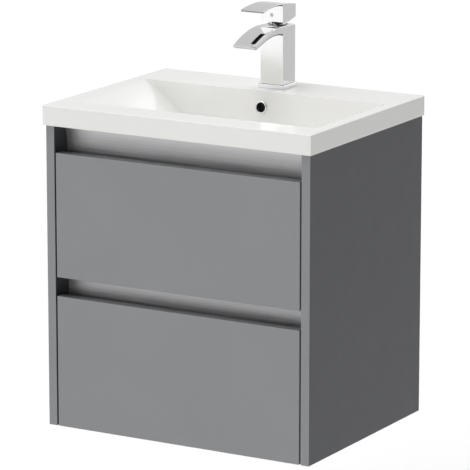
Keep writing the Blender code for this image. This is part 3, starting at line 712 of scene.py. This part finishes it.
def runners():
    """Rolled channels with round bends. The drawer's own member opens outwards, the others inwards."""
    bend = 0.0022
    half = RUNNER_STEEL / 2
    for drawer in ("lower", "upper"):
        for member in ("cabinet", "middle", "drawer"):
            for side, sign in SIDES:
                node = f"{drawer}_{member}_runner_{side}"
                (x0, y0, z0), (x1, y1, z1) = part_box(node)
                outer, inner = (x0, x1) if sign < 0 else (x1, x0)
                web, tip = (inner, outer) if member == "drawer" else (outer, inner)
                web += math.copysign(half, tip - web)
                path = [(tip, z1 - half), (web, z1 - half), (web, z0 + half), (tip, z0 + half)]
                made = sheet_strip(node + "_channel", rounded(path, bend), (y0, y1), RUNNER_STEEL, Y_AXIS)
                stand_for(round_edges(made, 0.0002, 2, 50), node)


def pan_screw(name, centre, turn, radius=0.0032, tall=0.0018):
    """A pan head with a cross recess. Its own +Z points out of the head."""
    dome = bezier((0, tall), (radius * 0.6, tall), (radius, tall * 0.75), (radius, tall * 0.25), 8)
    head = settle(lathe(name, dome + [(radius, 0), (0, 0)], centre, 32, turn))
    place = Matrix.Translation(centre) @ turn
    cross = []
    for angle in (0, 90):
        arm = block(name + "_arm", (-radius * 0.62, radius * 0.62), (-radius * 0.12, radius * 0.12),
                    (tall * 0.35, tall * 1.5))
        arm.data.transform(place @ Matrix.Rotation(math.radians(angle), 4, "Z"))
        cross.append(arm)
    head.data.transform(head.matrix_world)
    head.matrix_world = Matrix.Identity(4)
    return carve(head, *cross)


def front_bracket(drawer, side, sign):
    """The steel angle behind a front, and its two screws in each leg."""
    steel = 0.002
    half = steel / 2
    node = f"{drawer}_front_bracket_{side}"
    (x0, y0, z0), (x1, y1, z1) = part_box(node)
    wall, free = (x0, x1) if sign < 0 else (x1, x0)
    inward = -sign
    path = [(free, y0 + half), (wall + inward * half, y0 + half), (wall + inward * half, y1)]
    made = settle(sheet_strip(node + "_angle", rounded(path, 0.004), (z0, z1), steel))
    # the strip was drawn with (y, z) points along X, so turn it up to run along Z
    made.data.transform(Matrix(((0, 1, 0, 0), (0, 0, 1, 0), (1, 0, 0, 0), (0, 0, 0, 1))))
    stand_for(round_edges(made, 0.0004, 2, 50), node)
    screws = []
    off_bend = 0.003                # from the middle of a leg to its screws
    for z in (z0 + 0.011, z1 - 0.011):
        on_front = ((wall + free) / 2 + inward * off_bend, y0 + steel, z)
        screws.append(pan_screw("front_screw", on_front, BACKWARDS))
        on_side = (wall + inward * steel, (y0 + y1) / 2 + off_bend, z)
        screws.append(pan_screw("side_screw", on_side, towards(inward)))
    return screws


def runner_screws(drawer, side, sign):
    """Three screws through the drawer's member of a runner."""
    (x0, y0, z0), (x1, y1, z1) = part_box(f"{drawer}_drawer_runner_{side}")
    web = x1 - RUNNER_STEEL if sign < 0 else x0 + RUNNER_STEEL
    return [pan_screw("runner_screw", (web, y0 + share * (y1 - y0), (z0 + z1) / 2), towards(sign))
            for share in (0.10, 0.45, 0.85)]


def brackets_and_screws():
    """The brackets, and one piece for all of a drawer's screws."""
    for drawer in ("lower", "upper"):
        screws = []
        for side, sign in SIDES:
            screws += front_bracket(drawer, side, sign)
            screws += runner_screws(drawer, side, sign)
        added(join_meshes(drawer + "_drawer_screws", screws), drawer + "_drawer", "stainless_steel")


def wall_rail():
    """The rail screwed to the wall. Its upper part steps forwards to carry the hooks."""
    steel = 0.0025
    half = steel / 2
    step_low, step_high = 0.010, 0.014
    (x0, y0, z0), (x1, _, z1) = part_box("wall_rail")
    path = [(-half, z0), (-half, step_low), (y0 + half, step_high), (y0 + half, z1)]
    rail = sheet_strip("wall_rail_pressing", rounded(path, 0.003), (x0, x1), steel)
    stand_for(round_edges(rail, 0.0005, 2, 50), "wall_rail")
    screws = [pan_screw("rail_screw", (x, -steel, -0.004), FORWARDS, 0.0055, 0.0030)
              for x in (-0.185, -0.165, -0.010, 0.010, 0.165, 0.185)]
    added(join_meshes("wall_rail_screws", screws), "cabinet", "stainless_steel")


def hangers():
    """The two castings that hook over the wall rail, in front of the upper back rail."""
    rail_top = high("wall_rail", Z_AXIS)
    arm = rail_top + GAP
    lip_foot = rail_top - 0.008
    lip_y = -0.0048
    back_rail = low("back_rail_upper", Y_AXIS) - 0.001
    for side, sign in SIDES:
        node = "hanger_" + side
        (x0, y0, z0), (x1, y1, z1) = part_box(node)
        shoulder = z1 - 0.004
        hook = [(y1, lip_foot), (y1, z1), (-0.042, z1), (-0.052, shoulder), (y0, shoulder), (y0, z0),
                (back_rail, z0), (back_rail, arm), (lip_y, arm), (lip_y, lip_foot)]
        made = slab(node + "_casting", rounded(hook, 0.0015, 3, True), (x0, x1))
        stand_for(round_edges(made, 0.0004, 2, 50), node)
        inner_x = x1 if sign < 0 else x0
        bolts = [pan_screw("hanger_bolt", (inner_x, y, z0 + 0.022), towards(-sign), 0.0042, 0.0022)
                 for y in (y0 + 0.014, y0 + 0.036)]
        added(join_meshes(node + "_bolts", bolts), "cabinet", "stainless_steel")


# ---------------------------------------------------------------- basin

DECK_Z = high("basin", Z_AXIS)
UNDER_Z = high("side_panel_left", Z_AXIS) + GAP      # underside of the basin's rim
BOWL_BACK_Y = -0.105
BOWL_FRONT_Y = -0.338
BOWL_HALF_W = 0.236
BOWL_DEPTH = 0.116
BOWL_WALL = 0.009
BOWL_DRAFT = 0.10               # the back and front walls lean in by this much per unit of depth
FLOOR_Z = DECK_Z - BOWL_DEPTH
WASTE_Y = middle("waste_body", Y_AXIS)
OVERFLOW_DEPTH = 0.027
OVERFLOW_R = 0.0095
OVERFLOW_TURN = Matrix.Rotation(math.radians(90) - math.atan(BOWL_DRAFT), 4, "X")
DUCT_HALF_W = 0.022             # outside of the overflow's duct
DUCT_BACK_Y = -0.080
DUCT_LOW_Z = FLOOR_Z - 0.024
FALL_HALF_W = 0.014             # inside of the duct
TAP_Y = middle("tap_base_plate", Y_AXIS)


def bowl_section(steps):
    """(x, depth) points of the bowl's curved ends and flat floor, from left rim to right rim."""
    half, deep = BOWL_HALF_W, BOWL_DEPTH
    left = bezier((-half, 0), (-0.198, 0.010), (-0.165, 0.042), (-0.148, 0.066), steps)
    left += bezier((-0.148, 0.066), (-0.131, 0.090), (-0.112, deep - 0.003), (-0.075, deep), steps)
    left.append((-0.075, deep))
    return left + [(-x, depth) for x, depth in reversed(left)]


def offset_outline(points, distance):
    """The points moved square to the path by the distance."""
    moved = []
    for i, point in enumerate(points):
        before = Vector(points[max(i - 1, 0)])
        after = Vector(points[min(i + 1, len(points) - 1)])
        along = (after - before).normalized()
        moved.append((point[0] - along.y * distance, point[1] + along.x * distance))
    return moved


def bowl_solid(name, wall, top, steps):
    """The bowl's inside, or its outside when it has a wall, closed at a height above the deck."""
    section = offset_outline(bowl_section(steps), wall)
    outline = [(section[0][0], -top)] + section + [(section[-1][0], -top)]
    shape = bmesh.new()
    ring = [shape.verts.new((x, BOWL_BACK_Y + wall - BOWL_DRAFT * d, DECK_Z - d)) for x, d in outline]
    face = shape.faces.new(ring)
    grown = bmesh.ops.extrude_face_region(shape, geom=[face])["geom"]
    for vertex in [item for item in grown if isinstance(item, bmesh.types.BMVert)]:
        vertex.co.y = BOWL_FRONT_Y - wall + BOWL_DRAFT * (DECK_Z - vertex.co.z)
    bmesh.ops.recalc_face_normals(shape, faces=shape.faces)
    return from_bmesh(name, shape)


def overflow_place(proud):
    """A point on the overflow's axis, this far in front of the bowl's back wall."""
    lean = math.atan(BOWL_DRAFT)
    wall_y = BOWL_BACK_Y - BOWL_DRAFT * OVERFLOW_DEPTH
    return Vector((0, wall_y - proud * math.cos(lean), DECK_Z - OVERFLOW_DEPTH + proud * math.sin(lean)))


def basin_body():
    """The rim, hollow below, with the bowl's outside, the duct's and a boss for the waste."""
    (x0, y0, _), (x1, y1, _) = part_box("basin")
    made = block("basin_casting", (x0, x1), (y0, y1), (UNDER_Z, DECK_Z))
    border, deck_thick = 0.026, 0.012
    pocket = block("pocket", (x0 + border, x1 - border), (-0.320, -0.020),
                   (UNDER_Z - 0.01, DECK_Z - deck_thick))
    carve(made, pocket)
    duct_wall = block("duct_wall", (-DUCT_HALF_W, DUCT_HALF_W), (BOWL_BACK_Y - 0.020, DUCT_BACK_Y),
                      (DUCT_LOW_Z, DECK_Z - 0.004))
    duct_foot = block("duct_foot", (-DUCT_HALF_W, DUCT_HALF_W), (WASTE_Y, DUCT_BACK_Y - 0.001),
                      (DUCT_LOW_Z, FLOOR_Z - 0.004))
    boss = rod("boss", 0.034, 0.020, (0, WASTE_Y, DUCT_LOW_Z + 0.0105))
    return fuse(made, bowl_solid("bowl_outside", BOWL_WALL, -0.006, 16), duct_wall, duct_foot, boss)


def basin_cutters():
    """The bowl's inside, the tap's and the waste's holes, and the way from the overflow to the waste."""
    run_half_w = FALL_HALF_W - 0.001
    return [
        bowl_solid("bowl_inside", 0, 0.010, 40),
        rod("tap_hole", 0.0175, 0.060, (0, TAP_Y, DECK_Z)),
        rod("waste_hole", 0.023, 0.080, (0, WASTE_Y, FLOOR_Z)),
        block("duct_fall", (-FALL_HALF_W, FALL_HALF_W), (-0.0935, DUCT_BACK_Y - 0.004),
              (FLOOR_Z - 0.020, DECK_Z - OVERFLOW_DEPTH + 0.010)),
        block("duct_run", (-run_half_w, run_half_w), (WASTE_Y + 0.010, -0.0925),
              (FLOOR_Z - 0.0195, FLOOR_Z - 0.012)),
        rod("overflow_hole", OVERFLOW_R, 0.030, overflow_place(0.0045), OVERFLOW_TURN),
    ]


def in_duct(spot, _):
    """Picks the walls of the overflow's duct."""
    behind_bowl = BOWL_BACK_Y - BOWL_DRAFT * (DECK_Z - spot.z) + 0.0008
    in_depth = behind_bowl < spot.y < DUCT_BACK_Y - 0.003
    in_height = DUCT_LOW_Z + 0.001 < spot.z < DECK_Z - 0.020
    return abs(spot.x) < FALL_HALF_W + 0.0005 and in_depth and in_height


def basin():
    """The cast basin: a square rim with a pocket below it, a bowl, and the overflow's duct behind it."""
    front_y = low("basin", Y_AXIS)
    made = carve(basin_body(), *basin_cutters())
    ease_basin(made)
    stand_for(keep_flats(made), "basin")
    # the duct's walls take painted shadow
    finish_faces(made, PAINTED_SHADOW_BLACK, in_duct)
    # the rim's front face takes painted shade
    finish_faces(made, RIM_FRONT_PAINTED_SHADE, lambda spot, normal: normal.y < -0.9 and spot.y < front_y + 0.001)


def ease_basin(made):
    """Rounds the rim's outer corners and the bowl's creases, which are cast with different radii."""
    crease_radius, rim_radius = 0.0024, 0.0016
    (_, y0, _), (x1, y1, _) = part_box("basin")
    shape = bmesh.new()
    shape.from_mesh(made.data)
    bmesh.ops.dissolve_limit(shape, angle_limit=math.radians(0.4), verts=shape.verts, edges=shape.edges)

    def sharp(edge):
        return len(edge.link_faces) == 2 and edge.calc_face_angle() > math.radians(40)

    def in_bowl(edge):
        return all(BOWL_FRONT_Y - 0.002 < v.co.y < BOWL_BACK_Y + 0.001 and v.co.z > FLOOR_Z - 0.001
                   and abs(v.co.x) < BOWL_HALF_W + 0.001 for v in edge.verts)

    def at_hole(edge):
        centre = (edge.verts[0].co + edge.verts[1].co) / 2
        near_waste = math.hypot(centre.x, centre.y - WASTE_Y) < 0.030 and centre.z < FLOOR_Z + 0.005
        near_overflow = (centre - overflow_place(0)).length < 0.014
        return near_waste or near_overflow

    def on_outside(edge):
        return all(abs(v.co.x) > x1 - 0.0001 or v.co.y < y0 + 0.0001 or v.co.y > y1 - 0.0001
                   for v in edge.verts)

    def ease(edges, radius):
        bmesh.ops.bevel(shape, geom=edges, offset=radius, offset_type="OFFSET", segments=4, profile=0.5,
                        affect="EDGES", clamp_overlap=True)

    ease([e for e in shape.edges if sharp(e) and in_bowl(e) and not at_hole(e)], crease_radius)
    ease([e for e in shape.edges if sharp(e) and on_outside(e)], rim_radius)
    shape.to_mesh(made.data)
    shape.free()


def overflow_ring():
    """A pressed chrome ring in the overflow hole."""
    hole, bore, lip = OVERFLOW_R - GAP, OVERFLOW_R - 0.0011, OVERFLOW_R + 0.0018
    profile = [(bore, 0.0010)]
    profile += bezier((bore + 0.0002, 0.0012), (lip - 0.0010, 0.0013), (lip, 0.0010), (lip, 0.0), 8)
    profile += [(lip, 0.0), (hole, 0.0), (hole, -0.008), (bore, -0.008)]
    made = lathe("overflow_ring_pressing", profile, overflow_place(0.0005), 96, OVERFLOW_TURN)
    made.data.shade_smooth()
    stand_for(round_edges(settle(made), 0.0001, 2, 40), "overflow_ring")


# ---------------------------------------------------------------- waste

WASTE_R = 0.0205                # outside of the thread
WASTE_BORE = 0.0170
FLANGE_R = 0.0315
PLUG_R = 0.0300


def waste_profile():
    """(radius, height) points of the turned waste, from its bore over the flange and down the thread."""
    seat = 0.0015 + GAP
    thick = 0.0027
    foot = low("waste_body", Z_AXIS) - FLOOR_Z
    profile = [(WASTE_BORE, seat + 0.0010)]
    profile += bezier((WASTE_BORE + 0.0020, seat + 0.0018), (WASTE_BORE + 0.0050, seat + thick),
                      (FLANGE_R - 0.0060, seat + thick), (FLANGE_R - 0.0012, seat + 0.0019), 10)
    profile += [(FLANGE_R, seat + 0.0012), (FLANGE_R, seat), (WASTE_R, seat)]
    turns = 14
    top_turn, low_turn = -0.026, foot + 0.004
    pitch = (low_turn - top_turn) / turns
    for i in range(turns):
        z = top_turn + (low_turn - top_turn) * i / turns
        profile += [(WASTE_R, z), (WASTE_R - 0.0005, z + pitch / 2)]
    return profile + [(WASTE_R, low_turn), (WASTE_R - 0.0008, foot), (WASTE_BORE, foot)]


def waste_body():
    """The threaded body with its flange, a bar and hub to guide the plug, and the overflow's slots."""
    body = settle(lathe("waste_body_turned", waste_profile(), Vector((0, WASTE_Y, FLOOR_Z))))
    body.data.transform(body.matrix_world)
    body.matrix_world = Matrix.Identity(4)
    bar = block("bar", (-WASTE_BORE - 0.001, WASTE_BORE + 0.001), (WASTE_Y - 0.0025, WASTE_Y + 0.0025),
                (FLOOR_Z - 0.030, FLOOR_Z - 0.0215))
    hub = rod("hub", 0.0075, 0.0145, (0, WASTE_Y, FLOOR_Z - 0.0262), facets=48)
    fuse(body, bar, hub)
    guide = rod("guide", 0.0044, 0.030, (0, WASTE_Y, FLOOR_Z - 0.026), facets=32)
    slot = block("slot", (-0.006, 0.006), (WASTE_Y - 0.030, WASTE_Y + 0.030),
                 (FLOOR_Z - 0.0190, FLOOR_Z - 0.0125))
    carve(body, guide, slot)
    stand_for(round_edges(body, 0.0002, 2, 50), "waste_body")


def waste_plug():
    """The domed plug on its stem."""
    place = Vector((0, WASTE_Y, FLOOR_Z))
    top = high("waste_plug", Z_AXIS) - FLOOR_Z
    stem_foot = low("waste_plug", Z_AXIS) - FLOOR_Z
    stem = 0.0040
    brink = PLUG_R - 0.0004
    dome = bezier((0, top), (0.012, top), (0.024, top - 0.0008), (brink, top - 0.0030), 14)
    dome += bezier((brink, top - 0.0030), (PLUG_R, top - 0.0033), (PLUG_R, top - 0.0036),
                   (PLUG_R, top - 0.0046), 4)
    dome += [(brink, top - 0.0050), (stem, top - 0.0055), (stem, stem_foot), (0.0, stem_foot)]
    plug = settle(lathe("waste_plug_dome", dome, place))
    stand_for(round_edges(plug, 0.0002, 2, 40), "waste_plug")


def waste_rings():
    """The seal and the six-sided nut below the bowl."""
    for node, hole, facets in (("waste_seal", WASTE_R + 0.0004, 96), ("waste_nut", 0.0240, 6)):
        (x0, _, z0), (x1, _, z1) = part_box(node)
        place = (0, WASTE_Y, (z0 + z1) / 2)
        made = rod(node + "_ring", (x1 - x0) / 2, z1 - z0, place, facets=facets)
        carve(made, rod("ring_bore", hole, 0.05, place))
        stand_for(round_edges(made, 0.0009, 3, 40), node)


# ---------------------------------------------------------------- tap

# heights named h are above the basin's deck
TAP_HALF_W = high("tap_body", X_AXIS)
TAP_FRONT_Y = -0.072            # the column's front
TAP_BACK_Y = high("tap_body", Y_AXIS)
SPOUT_TIP = (-0.167, 0.0840)    # (y, h) of the spout's end, at its top
SPOUT_LIP = (-0.1585, 0.0801)   # and below
LEVER_BACK_Y = -0.0286
LEVER_FRONT_Y = -0.0726         # the front of the block under the blade
BLADE_TIP = (-0.139, 0.1420)
BLADE_LIP = (-0.1372, 0.1385)
PIVOT_H = 0.088                 # the lever's pivot
SPINDLE_LEAN = math.radians(12.5)
CARTRIDGE_R = 0.0151            # the bore that holds the cartridge
SLOT_X = (0.0072, 0.0162)       # the outlet slot in the spout's top
CURVE_STEPS = 28


def tap_z(h):
    return DECK_Z + h


def tap_side(points):
    """(y, h) points as (y, z) points."""
    return [(y, tap_z(h)) for y, h in points]


def lower_edge(front_y, back_y):
    """Picks the chamfers along the two sides of an arched underside."""
    def chosen(spot, normal):
        return front_y < spot.y < back_y and normal.z < -0.1 and 0.15 < abs(normal.x) < 0.99
    return chosen


def chamfer_underside(made, width, front_y, back_y):
    """Chamfers the two long edges of an arched underside, between two values of y."""
    shape = bmesh.new()
    shape.from_mesh(made.data)
    shape.normal_update()

    def along_underside(edge):
        below, beside = sorted(edge.link_faces, key=lambda face: abs(face.normal.x))
        in_reach = all(front_y < vertex.co.y < back_y + 0.0001 for vertex in edge.verts)
        return in_reach and below.normal.z < -0.2 and abs(beside.normal.x) > 0.9

    edges = [edge for edge in shape.edges if along_underside(edge)]
    bmesh.ops.bevel(shape, geom=edges, offset=width, offset_type="OFFSET", segments=1, profile=0.5,
                    affect="EDGES", clamp_overlap=True)
    shape.to_mesh(made.data)
    shape.free()


def tap_body_outline():
    """The side view of the column and the spout, as (y, h) points."""
    top = bezier((-0.078, 0.1072), (-0.108, 0.1080), (-0.140, 0.0980), SPOUT_TIP, CURVE_STEPS)
    arch_end = (TAP_FRONT_Y, 0.0920)
    under = bezier(SPOUT_LIP, (-0.125, 0.0940), (-0.095, 0.0980), arch_end, CURVE_STEPS)
    foot = low("tap_body", Z_AXIS) - DECK_Z
    return [(TAP_BACK_Y, foot), (TAP_BACK_Y, 0.1060)] + top + [SPOUT_TIP] + under \
        + [arch_end, (TAP_FRONT_Y, foot)]


def tap_body():
    """A square column that runs out into a curved spout, with an outlet slot in its top."""
    made = slab("tap_body_casting", tap_side(tap_body_outline()), (-TAP_HALF_W, TAP_HALF_W))
    chamfer_underside(made, 0.0016, -0.1600, TAP_FRONT_Y)
    settle(round_edges(made, 0.0006, 3, 40))

    bore = rod("bore", CARTRIDGE_R, 0.060, (0, TAP_Y, tap_z(0.088)))
    stud_hole = rod("stud_hole", 0.0043, 0.040, (0, TAP_Y - 0.011, tap_z(0.007)), facets=32)
    inlets = [rod("inlet", 0.0047, 0.080, (sign * 0.0095, TAP_Y + 0.004, tap_z(0.024)), facets=32)
              for _, sign in SIDES]

    # the slot follows the spout's slope between two (y, h) points on its top
    start, finish = Vector((-0.1215, 0.1024)), Vector((-0.1570, 0.0893))
    along = (finish - start).normalized()
    centre = (start + finish) / 2
    slope = Matrix.Translation((0, centre.x, tap_z(centre.y))) \
        @ Matrix.Rotation(math.atan2(-along.y, -along.x), 4, "X")
    half_l = (finish - start).length / 2
    slot = block("slot", SLOT_X, (-half_l + 0.0008, half_l - 0.0008), (-0.0050, 0.0100))
    slot.data.transform(slope)
    carve(made, bore, stud_hole, *inlets, slot)
    stand_for(keep_flats(made), "tap_body")

    to_slope = slope.inverted()

    def in_slot(spot, _):
        inside = to_slope @ Vector(spot)
        in_width = SLOT_X[0] - 0.0005 < inside.x < SLOT_X[1] + 0.0005
        return in_width and abs(inside.y) < half_l and inside.z < -0.0002 and spot.z > tap_z(0.080)

    # the slot's faces take painted shadow
    finish_faces(made, PAINTED_SHADOW_BLACK, in_slot)
    # the underside at the spout's tip takes painted shade
    finish_faces(made, LIP_CHROME_PAINTED_SHADE, lambda spot, normal: normal.z < -0.2 and spot.y < SPOUT_LIP[0])
    # the underside's chamfers take painted shade and painted dark reflection
    finish_faces(made, CHROME_PAINTED_DARK, lower_edge(-0.1575, TAP_FRONT_Y))
    # the column's front face takes painted light
    finish_faces(made, CHROME_PAINTED_LIGHT,
                 lambda spot, normal: normal.y < -0.9 and spot.y > TAP_FRONT_Y - 0.0005)


def tap_base_plate():
    """A pressed cover with rounded upper edges. Its lower edge is sharp, where it meets the deck."""
    (x0, y0, z0), (x1, y1, z1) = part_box("tap_base_plate")
    made = settle(round_edges(block("tap_base_plate_pressing", (x0, x1), (y0, y1), (z0 - 0.002, z1)),
                              0.0009))
    below = block("below", (x0 - 0.01, x1 + 0.01), (y0 - 0.01, y1 + 0.01), (z0 - 0.010, z0))
    opening = rod("opening", 0.0150, 0.030, (0, TAP_Y, z1))
    recess = rod("recess", 0.0220, 0.0036, (0, TAP_Y, z0))
    carve(made, below, opening, recess)
    stand_for(keep_flats(made), "tap_base_plate")


def tap_dome():
    """The cartridge's nut: part of a sphere about the lever's pivot, over a thin flange."""
    sphere, hole, steps = 0.0241, 0.0105, 16
    flange_r, ledge, flange_top = 0.0168, 0.1073, 0.1079
    foot_r = math.sqrt(sphere ** 2 - (flange_top - PIVOT_H) ** 2)
    dome = []
    for i in range(steps + 1):
        radius = hole + (foot_r - hole) * i / steps
        dome.append((radius, PIVOT_H + math.sqrt(sphere ** 2 - radius ** 2)))
    rim = 0.1000 + GAP
    skirt_r = CARTRIDGE_R - GAP
    dome += [(flange_r, flange_top), (flange_r, ledge), (skirt_r, ledge), (skirt_r, rim), (hole, rim)]
    made = settle(lathe("tap_dome_nut", dome, (0, TAP_Y, DECK_Z)))
    stand_for(round_edges(made, 0.0001, 2, 40), "tap_cartridge_nut")

    def on_flange(spot, normal):
        return normal.z > 0.95 or math.hypot(spot.x, spot.y) > flange_r - 0.0008

    # the flange takes a painted shadow and painted dark reflection
    finish_faces(made, CHROME_PAINTED_DARK, on_flange)


def tap_lever_outline():
    """The side view of the block and the blade, as (y, h) points."""
    over = bezier((LEVER_BACK_Y, 0.1408), (-0.062, 0.1480), (-0.100, 0.1500), BLADE_TIP, CURVE_STEPS)
    arch_end = (LEVER_FRONT_Y, 0.1420)
    under = bezier(BLADE_LIP, (-0.118, 0.1450), (-0.095, 0.1460), arch_end, CURVE_STEPS)
    return [(LEVER_BACK_Y, 0.1189)] + over + [BLADE_TIP] + under \
        + [arch_end, (LEVER_FRONT_Y, 0.1140), (-0.0523, 0.1130)]


def tap_lever():
    """A block over the spindle, drawn out into a thin curved blade."""
    made = slab("tap_lever_casting", tap_side(tap_lever_outline()), (-TAP_HALF_W, TAP_HALF_W))
    chamfer_underside(made, 0.0013, -0.1380, LEVER_FRONT_Y)
    settle(round_edges(made, 0.0005, 3, 40))

    half = 0.0038
    socket = block("socket", (-half, half), (-half, half), (0.020, 0.0404))
    socket.data.transform(Matrix.Translation((0, TAP_Y, tap_z(PIVOT_H)))
                          @ Matrix.Rotation(SPINDLE_LEAN, 4, "X"))
    screw_z = middle("tap_indice", Z_AXIS)
    screw_hole = rod("screw_hole", 0.0023, 0.020, (0, -0.0680, screw_z), FORWARDS, 32)
    cap_hole = rod("cap_hole", 0.0032, 0.010, (0, LEVER_FRONT_Y - 0.0032, screw_z), FORWARDS, 48)
    carve(made, socket, screw_hole, cap_hole)
    stand_for(keep_flats(made), "tap_lever")
    # the underside at the blade's tip takes painted shade
    finish_faces(made, LIP_CHROME_PAINTED_SHADE, lambda spot, normal: normal.z < -0.2 and spot.y < -0.1370)
    # the underside's chamfers take painted shade and painted dark reflection
    finish_faces(made, CHROME_PAINTED_DARK, lower_edge(-0.1360, LEVER_FRONT_Y))
    # the block's front face takes painted light
    finish_faces(made, CHROME_PAINTED_LIGHT,
                 lambda spot, normal: normal.y < -0.9 and spot.y > LEVER_FRONT_Y - 0.0005)


# ---------------------------------------------------------------- build


def finish_cad_nodes():
    """Every CAD node takes its slot's finish. Those that no piece replaces stay in view."""
    for name, node in NODES.items():
        node.data.materials.clear()
        node.data.materials.append(FINISHES[SLOT_OF[name]])


finish_cad_nodes()
add_camera()
add_studio()
cabinet_boards()
upper_base()
trap_guard()
finger_profiles()
runners()
brackets_and_screws()
wall_rail()
hangers()
basin()
overflow_ring()
waste_body()
waste_plug()
waste_rings()
tap_body()
tap_base_plate()
tap_dome()
tap_lever()
